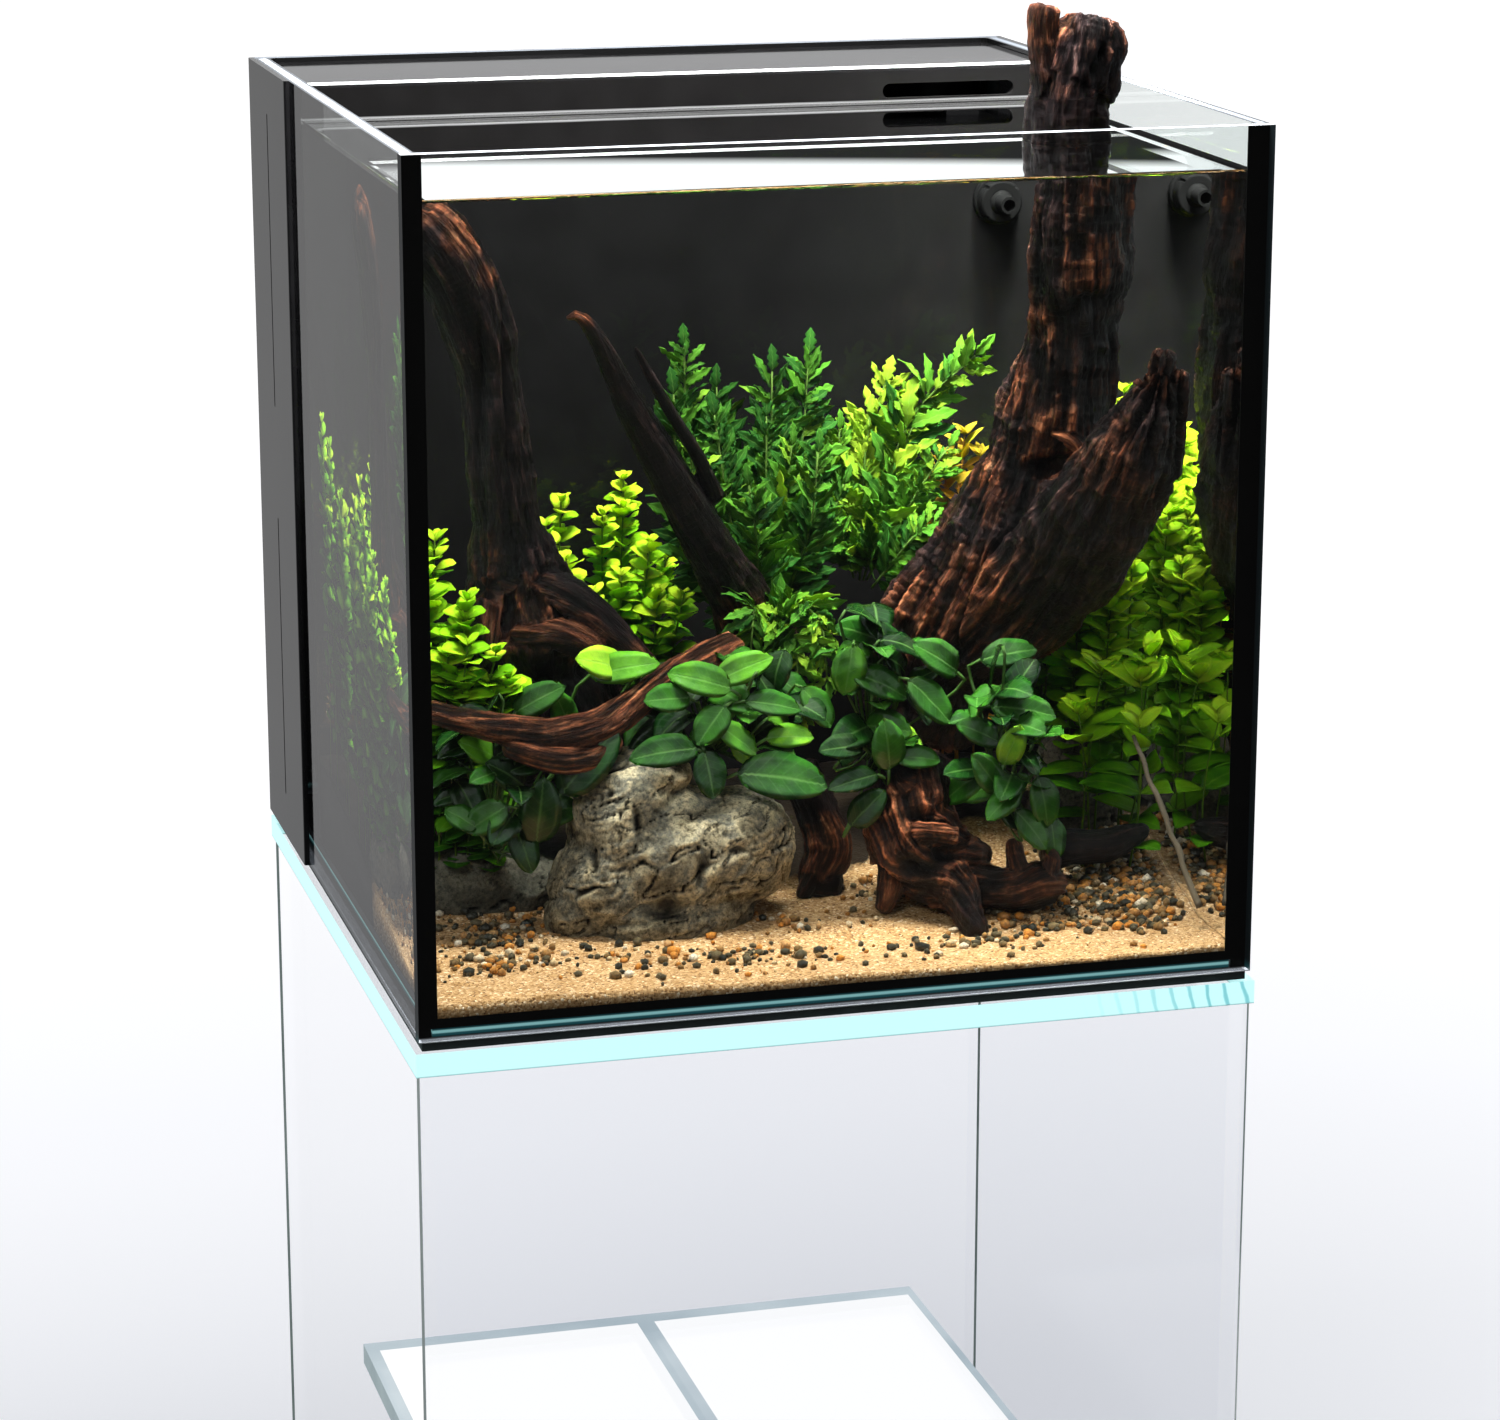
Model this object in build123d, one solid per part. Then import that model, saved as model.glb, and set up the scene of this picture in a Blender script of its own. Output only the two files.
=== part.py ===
from build123d import *
import os

# Cube aquarium with a rear filter chamber, planted inside, on an all-glass stand.
# Millimetres, +Z up, origin at the middle of the footprint on the floor, front towards -Y.

os.makedirs("parts", exist_ok=True)

# ---------------------------------------------------------------- driving dimensions
TANK = 450.0              # outer side of the glass cube
GLASS = 8.0               # tank and stand panes
PLATE = 12.7              # stand plates, shelf and web
PLATE_SIDE = 454.0
STAND_TOP = 710.0
PAD_H = 3.0
MAT_H = 5.0
MAT_SIDE = 446.0
SHELF_TOP = 362.0
SHELF_INSET = 46.0        # free strip at each side of the shelf
SEAM = 0.8                # silicone between two panes
BEAD = 3.5                # silicone fillet in the upright inner corners
FLOOR_BEAD = 1.5          # smaller fillet round the bottom pane
SEAM_HEIGHT = 3.5         # upper part of the bottom pane's edge that is bonded
SHEET = 5.0               # black acrylic partition and baffles
COVER = 3.0               # black acrylic side covers
CHAMBER = 102.0           # depth of the rear chamber
LID = 3.0
LID_BELOW_RIM = 2.5
SOIL_GAP = 0.5            # air left round loose pieces

# ---------------------------------------------------------------- derived levels and planes
HALF = TANK / 2
INNER = HALF - GLASS
BASE = STAND_TOP + MAT_H              # underside of the tank
FLOOR = BASE + GLASS                  # top of the bottom pane
RIM = BASE + TANK
LID_TOP = RIM - LID_BELOW_RIM
LID_BOTTOM = LID_TOP - LID
WALL_BACK = INNER - CHAMBER           # rear face of the partition
WALL_FRONT = WALL_BACK - SHEET
COVER_FRONT = WALL_FRONT - 10.0
WALL_MID = (WALL_FRONT + WALL_BACK) / 2

# overflow, nozzle and return line
OUTLET_X = 159.0
NOZZLE_Z = BASE + 381.0
SLOT_W, SLOT_H = 79.0, 8.4
SLOT_Z = BASE + 432.8
HOSE_Y = 150.0
HOSE_R, HOSE_BORE = 8.0, 6.0
HOSE_BEND = 50.0
PUMP_X, PUMP_BOTTOM, PUMP_H = -110.0, FLOOR + 6.0, 52.0
PUMP_TOP = PUMP_BOTTOM + PUMP_H
PUMP_L, PUMP_D = 60.0, 56.0
RISER_X = PUMP_X - 20.0
ROTOR_Z = PUMP_BOTTOM + PUMP_H / 2
PUMP_FACE = PUMP_X - PUMP_L / 2
PIN_R = 1.5

# filter sections of the rear chamber
INTAKE_BAFFLE_X, WEIR_BAFFLE_X = 47.0, 17.0
BASKET = dict(x=133.0, y=165.0, w=150.0, d=92.0, z0=FLOOR + 7.0, z1=BASE + 363.0)
BASKET_WALL = 2.5


def block(x0, x1, y0, y1, z0, z1):
    """Box between two corners."""
    size = Box(abs(x1 - x0), abs(y1 - y0), abs(z1 - z0))
    return Pos((x0 + x1) / 2, (y0 + y1) / 2, (z0 + z1) / 2) * size


def rod_x(x0, x1, y, z, r):
    """Round bar along X."""
    return Pos((x0 + x1) / 2, y, z) * Rot(0, 90, 0) * Cylinder(r, abs(x1 - x0))


def rod_y(x, y0, y1, z, r):
    """Round bar along Y."""
    return Pos(x, (y0 + y1) / 2, z) * Rot(90, 0, 0) * Cylinder(r, abs(y1 - y0))


def rod_z(x, y, z0, z1, r):
    """Round bar along Z."""
    return Pos(x, y, (z0 + z1) / 2) * Cylinder(r, z1 - z0)


def save(name, *solids):
    """Writes one node, a single solid or a group of separate solids."""
    shape = solids[0] if len(solids) == 1 else Compound(children=list(solids))
    export_step(shape, f"parts/{name}.step")


# ---------------------------------------------------------------- stand
def stand():
    """Glass pedestal: two plates, three walls, open at the back, shelf on a web."""
    side = PLATE_SIDE / 2
    base_top = PAD_H + PLATE
    plate_under = STAND_TOP - PLATE
    shelf_under = SHELF_TOP - PLATE
    pads = [rod_z(x, y, 0, PAD_H, 8) for x in (-200, 0, 200) for y in (-200, 200)]
    save("stand_pads", *pads)
    save("stand_base_plate", block(-side, side, -side, side, PAD_H, base_top))
    save("stand_top_plate", block(-side, side, -side, side, plate_under, STAND_TOP))
    save("stand_front_panel", block(-HALF, HALF, -HALF, -INNER, base_top, plate_under))
    save("stand_left_panel", block(-HALF, -INNER, -INNER, HALF, base_top, plate_under))
    save("stand_right_panel", block(INNER, HALF, -INNER, HALF, base_top, plate_under))
    reach = HALF - SHELF_INSET
    save("stand_shelf", block(-reach, reach, -INNER, HALF, shelf_under, SHELF_TOP))
    save("stand_web", block(-PLATE / 2, PLATE / 2, -INNER, HALF, base_top, shelf_under))
    mat = MAT_SIDE / 2
    save("levelling_mat", block(-mat, mat, -mat, mat, STAND_TOP, BASE))


# ---------------------------------------------------------------- glass tank
def corner_seam(sx, sy):
    """Silicone of one upright corner: a thin strip between the panes and an inner bead."""
    strip = block(INNER, HALF, INNER - SEAM, INNER, BASE, RIM)
    bead = block(INNER - BEAD, INNER, INNER - BEAD, INNER, FLOOR + FLOOR_BEAD, RIM)
    bead -= rod_z(INNER - BEAD, INNER - BEAD, BASE, RIM + 1, BEAD - SEAM)
    seam = strip + bead
    if sx < 0:
        seam = mirror(seam, about=Plane.YZ)
    if sy < 0:
        seam = mirror(seam, about=Plane.XZ)
    return seam


def bottom_seam():
    """Silicone all round the bottom pane, with a sloping bead above it."""
    ring = block(-INNER, INNER, -INNER, INNER, FLOOR - SEAM_HEIGHT, FLOOR)
    inside = INNER - SEAM
    ring -= block(-inside, inside, -inside, inside, BASE - 1, FLOOR + 1)
    bead = block(-INNER, INNER, -INNER, INNER, FLOOR, FLOOR + FLOOR_BEAD)
    foot = Pos(0, 0, FLOOR) * Rectangle(2 * (INNER - FLOOR_BEAD), 2 * (INNER - FLOOR_BEAD))
    mouth = Pos(0, 0, FLOOR + FLOOR_BEAD) * Rectangle(2 * inside, 2 * inside)
    return ring + (bead - loft([foot, mouth], ruled=True))


def tank():
    """Five panes bonded edge to face, front and back panes across the full width."""
    inside = INNER - SEAM
    save("tank_bottom_pane", block(-inside, inside, -inside, inside, BASE, FLOOR))
    save("tank_front_pane", block(-HALF, HALF, -HALF, -INNER, BASE, RIM))
    save("tank_back_pane", block(-HALF, HALF, INNER, HALF, BASE, RIM))
    save("tank_left_pane", block(-HALF, -INNER, -inside, inside, BASE, RIM))
    save("tank_right_pane", block(INNER, HALF, -inside, inside, BASE, RIM))
    save("silicone_corners", *[corner_seam(sx, sy) for sx in (-1, 1) for sy in (-1, 1)])
    save("silicone_bottom", bottom_seam())


def side_cover():
    """Black sheet outside the right pane that hides the chamber, with two sight slits."""
    cover = block(HALF, HALF + COVER, COVER_FRONT, HALF, BASE, RIM)
    cover = fillet(cover.edges().filter_by(Axis.Z).group_by(Axis.X)[-1], 1.5)
    slit_y, slit_w = COVER_FRONT + 62.0, 2.6
    for low, high in ((26.0, 192.0), (257.0, 425.0)):
        middle, length = BASE + (low + high) / 2, high - low
        slit = Plane.YZ * SlotOverall(length, slit_w, rotation=90)
        cut = extrude(slit, COVER + 2)
        cover -= Pos(HALF - 1, slit_y, middle) * cut
    return cover


# ---------------------------------------------------------------- rear chamber
def partition():
    """False wall with the overflow slot near the rim and the nozzle hole below it."""
    reach = INNER - 0.5
    wall = block(-reach, reach, WALL_FRONT, WALL_BACK, FLOOR, LID_BOTTOM)
    for s in (-1, 1):
        wall -= Pos(s * INNER, WALL_MID, FLOOR) * Box(2 * BEAD + 1, 20, 2 * BEAD + 1)
    slot = extrude(Plane.XZ * SlotOverall(SLOT_W, SLOT_H), 20, both=True)
    wall -= Pos(OUTLET_X, WALL_MID, SLOT_Z) * slot
    wall -= rod_y(OUTLET_X, WALL_FRONT - 5, WALL_BACK + 5, NOZZLE_Z, 10)
    return wall


def baffles():
    """Intake baffle open at the bottom, weir baffle open at the top."""
    y0, y1 = WALL_BACK, INNER - BEAD - 0.3
    intake = block(INTAKE_BAFFLE_X - SHEET / 2, INTAKE_BAFFLE_X + SHEET / 2,
                   y0, y1, FLOOR + 30, LID_BOTTOM - 12)
    intake -= rod_x(INTAKE_BAFFLE_X - 5, INTAKE_BAFFLE_X + 5, HOSE_Y, NOZZLE_Z, HOSE_R + 0.8)
    save("baffle_intake", intake)
    save("baffle_weir", block(WEIR_BAFFLE_X - SHEET / 2, WEIR_BAFFLE_X + SHEET / 2,
                              y0, y1, FLOOR, NOZZLE_Z - HOSE_R - 8))


def lid_and_ledges():
    """Loose chamber lid with a cable notch, on four ledges bonded to the panes."""
    reach = INNER - 1
    lid = block(-reach, reach, WALL_FRONT + 0.3, reach, LID_BOTTOM, LID_TOP)
    lid = chamfer(lid.edges().filter_by(Axis.Z).group_by(Axis.Y)[-1], BEAD + 1)
    notch = extrude(SlotOverall(95, 24), 20, both=True)
    lid -= Pos(14, reach, LID_TOP) * notch
    save("rear_lid", lid)
    under, thick, wide = LID_BOTTOM - 4, 4, 8
    ledges = [block(s * INNER, s * (INNER - wide), WALL_BACK + 8, INNER - 12,
                    under, under + thick) for s in (-1, 1)]
    ledges += [block(x0, x1, INNER - wide, INNER, under, under + thick)
               for x0, x1 in ((-190, -60), (90, 190))]
    save("lid_ledges", *ledges)


def media_basket():
    """Open-topped basket with a slotted floor and slotted walls for the filter media."""
    b, wall = BASKET, BASKET_WALL
    x0, x1 = b["x"] - b["w"] / 2, b["x"] + b["w"] / 2
    y0, y1 = b["y"] - b["d"] / 2, b["y"] + b["d"] / 2
    shell = block(x0, x1, y0, y1, b["z0"], b["z1"])
    shell -= block(x0 + wall, x1 - wall, y0 + wall, y1 - wall, b["z0"] + wall, b["z1"] + 1)
    for i in range(9):
        x = b["x"] + (i - 4) * 15
        shell -= Pos(x, b["y"], b["z0"]) * Box(6, b["d"] - 20, 3 * wall)
    for k in range(8):
        z = b["z0"] + 40 + k * 38
        shell -= Pos(b["x"], b["y"], z) * Box(b["w"] - 24, b["d"] + 10, 5)
    save("media_basket", shell)
    gap = wall + SOIL_GAP
    layers = (("filter_sponge", 0, 105), ("ceramic_media", 106, 235), ("filter_floss", 236, 275))
    for name, low, high in layers:
        z0 = b["z0"] + wall
        save(name, block(x0 + gap, x1 - gap, y0 + gap, y1 - gap, z0 + low, z0 + high))


def pump():
    """Return pump: suction feet, motor body, slotted intake cover, rotor on a pin, flow dial."""
    y = HOSE_Y
    body = block(PUMP_FACE, PUMP_FACE + PUMP_L, y - PUMP_D / 2, y + PUMP_D / 2, PUMP_BOTTOM, PUMP_TOP)
    body = fillet(body.edges().filter_by(Axis.X), 9)
    body = fillet(body.faces().sort_by(Axis.X)[-1].edges(), 6)
    body += rod_z(RISER_X, y, PUMP_TOP - 1, PUMP_TOP + 24, HOSE_BORE)
    body -= rod_x(PUMP_FACE - 1, PUMP_FACE + 14, y, ROTOR_Z, 14.5)
    body -= rod_x(PUMP_FACE, PUMP_FACE + 42, y, ROTOR_Z, 10)
    body -= rod_x(PUMP_FACE, PUMP_FACE + 44, y, ROTOR_Z, PIN_R)
    body -= rod_z(RISER_X, y, ROTOR_Z, PUMP_TOP + 30, 4)
    save("pump_body", body)
    feet = [Pos(PUMP_X + dx, y + dy, FLOOR + 3) * Cone(9, 5, 6)
            for dx in (-20, 20) for dy in (-18, 18)]
    save("pump_suction_feet", *feet)

    cover = block(PUMP_FACE - 12, PUMP_FACE, y - 25, y + 25, PUMP_BOTTOM + 2, PUMP_TOP - 3)
    cover = fillet(cover.edges().filter_by(Axis.X), 7)
    cover -= block(PUMP_FACE - 9.5, PUMP_FACE + 1, y - 21, y + 21, PUMP_BOTTOM + 6, PUMP_TOP - 7)
    for k in range(-2, 3):
        if k:
            cover -= Pos(PUMP_FACE - 10, y + 8 * k, ROTOR_Z) * Box(8, 3, 30)
    cover -= rod_x(PUMP_FACE - 14, PUMP_FACE - 8, y, ROTOR_Z, 3.2)
    save("pump_intake_cover", cover)

    dial = rod_x(PUMP_FACE - 16, PUMP_FACE - 12.2, y, ROTOR_Z, 11)
    dial += rod_x(PUMP_FACE - 12.4, PUMP_FACE - 8.5, y, ROTOR_Z, 2.9)
    dial += block(PUMP_FACE - 18, PUMP_FACE - 16, y - 1.5, y + 1.5, ROTOR_Z - 9, ROTOR_Z + 9)
    save("pump_flow_dial", dial)

    pin = rod_x(PUMP_FACE + 1, PUMP_FACE + 44, y, ROTOR_Z, PIN_R)
    save("pump_shaft", pin)
    rotor = rod_x(PUMP_FACE + 14.5, PUMP_FACE + 41, y, ROTOR_Z, 9)
    rotor += rod_x(PUMP_FACE + 3, PUMP_FACE + 15, y, ROTOR_Z, 4)
    for k in range(4):
        vane = block(PUMP_FACE + 3, PUMP_FACE + 12, y - 0.8, y + 0.8, ROTOR_Z, ROTOR_Z + 13)
        rotor += vane.rotate(Axis((0, y, ROTOR_Z), (1, 0, 0)), 90 * k)
    rotor -= rod_x(PUMP_FACE, PUMP_FACE + 50, y, ROTOR_Z, PIN_R + 0.06)
    save("pump_rotor", rotor)


def return_line():
    """Hose from the pump to an elbow behind the partition."""
    path = FilletPolyline((OUTLET_X - 13, HOSE_Y, NOZZLE_Z), (RISER_X, HOSE_Y, NOZZLE_Z),
                          (RISER_X, HOSE_Y, PUMP_TOP + 0.5), radius=HOSE_BEND)
    ring = Plane(origin=path @ 0, z_dir=path % 0) * (Circle(HOSE_R) - Circle(HOSE_BORE))
    save("return_hose", sweep(ring, path=path))

    x, z, knee = OUTLET_X, NOZZLE_Z, 12.0
    elbow = rod_y(x, 122.3, HOSE_Y, z, knee) + Pos(x, HOSE_Y, z) * Sphere(knee)
    elbow += rod_x(x - 34, x, HOSE_Y, z, HOSE_BORE)
    elbow -= rod_y(x, 120, 126.2, z, 9.8)
    elbow -= rod_y(x, 120, HOSE_Y, z, 6) + Pos(x, HOSE_Y, z) * Sphere(6)
    elbow -= rod_x(x - 40, x, HOSE_Y, z, 4)
    save("return_elbow", elbow)


def nozzle():
    """Bulkhead through the partition, lock nut, turning collar and tilting ball spout."""
    x, z, ball_y = OUTLET_X, NOZZLE_Z, WALL_FRONT - 11.5
    bulkhead = rod_y(x, WALL_FRONT - 5, WALL_FRONT, z, 13.5)
    bulkhead = fillet(bulkhead.edges().group_by(Axis.Y)[0], 1.2)
    bulkhead += rod_y(x, WALL_FRONT - 1, 126, z, 9.7)
    bulkhead -= rod_y(x, WALL_FRONT - 10, 130, z, 7.5)
    save("nozzle_bulkhead", bulkhead)

    nut = extrude(Plane.XZ * RegularPolygon(15, 6), -7)
    nut = Pos(x, WALL_BACK, z) * nut
    nut -= rod_y(x, 110, 130, z, 9.75)
    save("nozzle_nut", nut)

    collar = rod_y(x, ball_y - 4.5, WALL_FRONT - 5.3, z, 12)
    collar = fillet(collar.edges().group_by(Axis.Y)[0], 1.5)
    collar -= Pos(x, ball_y, z) * Sphere(8.3)
    collar -= rod_y(x, ball_y, WALL_FRONT, z, 8.3)
    for k in range(4):
        grip = Pos(x + 12, ball_y, z) * Rot(90, 0, 0) * Cylinder(1.2, 20)
        collar -= grip.rotate(Axis((x, 0, z), (0, 1, 0)), 90 * k + 45)
    save("nozzle_collar", collar)

    ball = Pos(x, ball_y, z) * Sphere(8) + rod_y(x, ball_y - 22, ball_y, z, 4.8)
    ball -= rod_y(x, ball_y - 30, ball_y + 10, z, 3.3)
    save("nozzle_ball", ball)


# ---------------------------------------------------------------- planted interior
def mass(x, y, h, a, b, c, sides=10):
    """Faceted closed lump with half sizes a, b, c, its middle h above the tank's underside."""
    layers = []
    for level, width in ((-1, 0.5), (-0.6, 0.86), (0, 1), (0.6, 0.86), (1, 0.5)):
        outline = RegularPolygon(1, sides)
        outline = scale(outline, by=(a * width, b * width, 1))
        layers.append(Pos(x, y, BASE + h + c * level) * outline)
    return loft(layers, ruled=True)


def limb(*stations):
    """Tapering round limb through stations (x, y, height above the tank's underside, radius)."""
    points = [Vector(x, y, BASE + h) for x, y, h, _ in stations]
    rings = []
    for i, (point, station) in enumerate(zip(points, stations)):
        ahead = points[min(i + 1, len(points) - 1)] - points[max(i - 1, 0)]
        rings.append(Plane(origin=point, z_dir=ahead) * Circle(station[3]))
    return loft(rings, ruled=True)


def largest(shape):
    """The biggest solid of a cut shape."""
    return max(shape.solids(), key=lambda s: s.volume)


def sand():
    """Sand bed, thin at the front and banked up against the partition."""
    reach, lift = INNER - BEAD - 0.2, BASE
    profile = [(-reach, FLOOR), (WALL_FRONT - 0.2, FLOOR), (WALL_FRONT - 0.2, lift + 62),
               (0, lift + 48), (-80, lift + 28), (-150, lift + 16), (-reach, lift + 14)]
    face = Plane.YZ * make_face(Polyline(*profile, close=True))
    return extrude(face, reach, both=True)


def interior():
    """Rocks, driftwood, sand and plants. Each piece gives way to the ones before it."""
    right_wood = limb((96, 15, 70, 36), (118, 0, 140, 42), (146, -20, 215, 34), (158, -38, 290, 26),
                      (166, -56, 370, 22), (170, -64, 425, 23), (180, -66, 470, 26), (174, -66, 498, 14))
    right_wood += limb((122, -14, 150, 30), (160, -62, 225, 26), (188, -108, 285, 19),
                       (200, -132, 322, 10))
    left_wood = limb((-190, -30, 402, 14), (-176, -30, 380, 22), (-158, -30, 333, 21),
                     (-153, -28, 255, 25), (-136, -25, 190, 38), (-116, -22, 100, 44))
    branch = limb((-112, -58, 348, 4), (-62, -38, 268, 12), (-18, -16, 200, 18), (10, 4, 120, 23))
    front_root = limb((-207, -104, 146, 7), (-172, -106, 131, 9), (-141, -104, 121, 10),
                      (-104, -98, 126, 10), (-62, -82, 152, 12), (-24, -60, 166, 12))
    chunk = limb((78, -92, 100, 16), (84, -112, 60, 27), (92, -142, 26, 12))
    chunk += limb((84, -112, 50, 18), (112, -122, 36, 16), (136, -128, 26, 10))
    pieces = [
        ("driftwood_right", right_wood),
        ("driftwood_left", left_wood),
        ("driftwood_branch", branch),
        ("driftwood_front_root", front_root),
        ("driftwood_chunk", chunk),
        ("driftwood_offcuts", limb((18, -56, 90, 13), (24, -70, 24, 16))),
        ("driftwood_offcuts", limb((144, -92, 46, 12), (176, -90, 50, 12), (202, -92, 50, 8))),
        ("boulder", mass(-72, -93, 62, 64, 46, 53)),
        ("rocks_small", mass(-164, -50, 40, 48, 32, 30)),
        ("rocks_small", mass(184, 5, 64, 28, 25, 42)),
        ("sand_bed", sand()),
        ("anubias_left", mass(-166, -92, 104, 36, 34, 56)),
        ("anubias_centre", mass(-42, -86, 146, 60, 38, 34)),
        ("anubias_middle", mass(48, -84, 146, 28, 34, 58)),
        ("anubias_right", mass(112, -116, 124, 32, 36, 60)),
        ("fern_centre", mass(2, 40, 236, 50, 44, 90)),
        ("fern_right", mass(92, 66, 236, 38, 30, 66)),
        ("red_stem_plant", mass(140, 84, 205, 12, 16, 60)),
        ("stem_plant_left", mass(-186, 12, 150, 27, 74, 104)),
        ("stem_plant_middle", mass(-84, 66, 150, 40, 36, 92)),
        ("stem_plant_right", mass(186, 62, 170, 26, 40, 108)),
        ("broad_leaf_right", mass(190, -60, 112, 22, 44, 56)),
        ("leaning_twig", limb((186, -118, 112, 1.9), (199, -150, 66, 2.3), (209, -178, 26, 2.5))),
    ]
    done, nodes = [], {}
    for name, piece in pieces:
        box = piece.bounding_box()
        for other in done:
            if box.overlaps(other.bounding_box()):
                piece = largest(piece - other)
        done.append(piece)
        nodes.setdefault(name, []).append(piece)
    for name, solids in nodes.items():
        save(name, *solids)


stand()
tank()
cover_right = side_cover()
save("side_cover_right", cover_right)
save("side_cover_left", mirror(cover_right, about=Plane.YZ))
save("partition_wall", partition())
baffles()
lid_and_ledges()
media_basket()
pump()
return_line()
nozzle()
interior()
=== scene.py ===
import bmesh
import bpy
import math
import numpy as np
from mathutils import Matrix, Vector


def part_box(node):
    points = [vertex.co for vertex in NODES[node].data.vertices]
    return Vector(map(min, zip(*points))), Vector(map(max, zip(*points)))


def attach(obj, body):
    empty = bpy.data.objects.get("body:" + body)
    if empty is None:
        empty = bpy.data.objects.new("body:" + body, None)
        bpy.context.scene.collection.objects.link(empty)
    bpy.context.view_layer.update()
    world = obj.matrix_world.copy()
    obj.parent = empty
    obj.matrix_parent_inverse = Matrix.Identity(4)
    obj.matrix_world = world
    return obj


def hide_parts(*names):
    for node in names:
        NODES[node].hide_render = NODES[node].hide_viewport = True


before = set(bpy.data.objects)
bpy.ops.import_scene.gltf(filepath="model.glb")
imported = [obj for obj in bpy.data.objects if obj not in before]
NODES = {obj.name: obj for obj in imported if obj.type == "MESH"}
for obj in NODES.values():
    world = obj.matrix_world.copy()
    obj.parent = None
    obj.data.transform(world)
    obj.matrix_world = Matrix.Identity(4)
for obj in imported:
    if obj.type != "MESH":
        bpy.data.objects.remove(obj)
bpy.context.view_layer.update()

MM = 0.001
# short names for inputs of the surface shader
SOCKETS = {"specular": "Specular IOR Level", "normal": "Normal", "transmission": "Transmission Weight"}
# painted sheen on the top edge of each tank pane, which glows: pale on the front and left panes, dark slate
# on the others
RIM_PAINTED_SHEEN = {"left": (0.60, 0.66, 0.76), "front": (0.80, 0.85, 0.95)}
OTHER_RIM_PAINTED_SHEEN = (0.22, 0.25, 0.30)
WALL_EDGE = ((0.13, 0.18, 0.17), (0.22, 0.28, 0.27))      # dull and bright colour of a cut edge's painted glow
SHELF_EDGE = ((0.33, 0.44, 0.47), (0.42, 0.54, 0.56))
OUTER = 0.225             # half width and half depth of the tank
HALF_PANE = 4 * MM        # half the thickness of a tank pane
CHAMBER_DROP = 30 * MM    # how far the filter chamber's water stands below the display's
WATER_IOR = 1.33
LENS = 104.1              # camera lens and sensor width in millimetres
SENSOR = 36.0
PITCH, TURN = 14.72, 15.32   # camera's downward pitch and turn to the right, in degrees
SHARED = {}               # materials that several pieces use

# ---------------------------------------------------------------- levels and planes from the frame
front_low, front_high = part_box("tank_front_pane")
BASE_Z = front_low.z                         # underside of the tank
RIM_Z = front_high.z
FRONT_Y = front_high.y                       # inner face of the front pane
FLOOR_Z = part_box("tank_bottom_pane")[1].z
LEFT_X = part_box("tank_left_pane")[1].x
RIGHT_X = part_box("tank_right_pane")[0].x
WALL_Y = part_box("partition_wall")[0].y       # front face of the partition
CHAMBER_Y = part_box("partition_wall")[1].y
BACK_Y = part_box("tank_back_pane")[0].y
WATER_Z = RIM_Z - 25.5 * MM


# ---------------------------------------------------------------- numeric helpers
def lattice(cell, seed):
    """Repeatable random values in -1..1 for whole-number cells."""
    cell = cell.astype(np.int64)
    n = cell[..., 0] * 374761393 + cell[..., 1] * 668265263 + cell[..., 2] * 2147483647 + seed * 1274126177
    n = (n ^ (n >> 13)) * 1274126177 & 0x7FFFFFFF
    n = (n ^ (n >> 16)) & 0xFFFF
    return n / 32767.5 - 1.0


def noise(p, seed):
    """Smooth value noise in -1..1 at points p, one cell per unit."""
    p = np.asarray(p, float)
    cell = np.floor(p)
    f = p - cell
    f = f * f * f * (f * (f * 6 - 15) + 10)
    total = np.zeros(p.shape[:-1])
    for dx in (0, 1):
        for dy in (0, 1):
            for dz in (0, 1):
                weight = (np.where(dx, f[..., 0], 1 - f[..., 0]) * np.where(dy, f[..., 1], 1 - f[..., 1])
                          * np.where(dz, f[..., 2], 1 - f[..., 2]))
                total += weight * lattice(cell + (dx, dy, dz), seed)
    return total


def fbm(p, octaves, seed):
    """Sum of noise octaves."""
    p = np.asarray(p, float)
    total, amount, reach = np.zeros(p.shape[:-1]), 1.0, 0.0
    for k in range(octaves):
        total += amount * noise(p * 2.0 ** k + 17.3 * k, seed + k)
        reach += amount
        amount *= 0.5
    return total / reach


def ridges(p, octaves, seed):
    """Sharp-crested noise in 0..1."""
    total, amount, reach = 0.0, 1.0, 0.0
    for k in range(octaves):
        total = total + amount * (1 - np.abs(noise(np.asarray(p) * 2.0 ** k + 5.1 * k, seed + k))) ** 2
        reach += amount
        amount *= 0.5
    return total / reach


def smooth(x, low, high):
    """Smooth step from 0 at low to 1 at high."""
    t = np.clip((x - low) / (high - low), 0, 1)
    return t * t * (3 - 2 * t)


# ---------------------------------------------------------------- mesh helpers
def add_piece(name, verts, faces, material, replaces=(), body="root", shade=True, attributes=None):
    """Makes a mesh piece from points in metres, gives it its material and puts it on its body."""
    mesh = bpy.data.meshes.new(name)
    mesh.from_pydata(np.asarray(verts).tolist(), [], faces if isinstance(faces, list) else faces.tolist())
    for key, values in (attributes or {}).items():
        attribute = mesh.attributes.new(key, "FLOAT_VECTOR", "POINT")
        attribute.data.foreach_set("vector", np.asarray(values, np.float32).ravel())
    mesh.materials.append(material)
    if shade:
        mesh.polygons.foreach_set("use_smooth", [True] * len(mesh.polygons))
    mesh.update()
    piece = bpy.data.objects.new(name, mesh)
    bpy.context.scene.collection.objects.link(piece)
    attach(piece, body)
    if replaces:
        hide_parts(*replaces)
    return piece


def grid_faces(rows, cols, wrap=False, offset=0):
    """Quads of a grid of points, row by row, closed round its columns if wrap."""
    r, c = np.meshgrid(np.arange(rows - 1), np.arange(cols if wrap else cols - 1), indexing="ij")
    c2 = (c + 1) % cols
    quads = np.stack([r * cols + c, r * cols + c2, (r + 1) * cols + c2, (r + 1) * cols + c], -1)
    return quads.reshape(-1, 4) + offset


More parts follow.
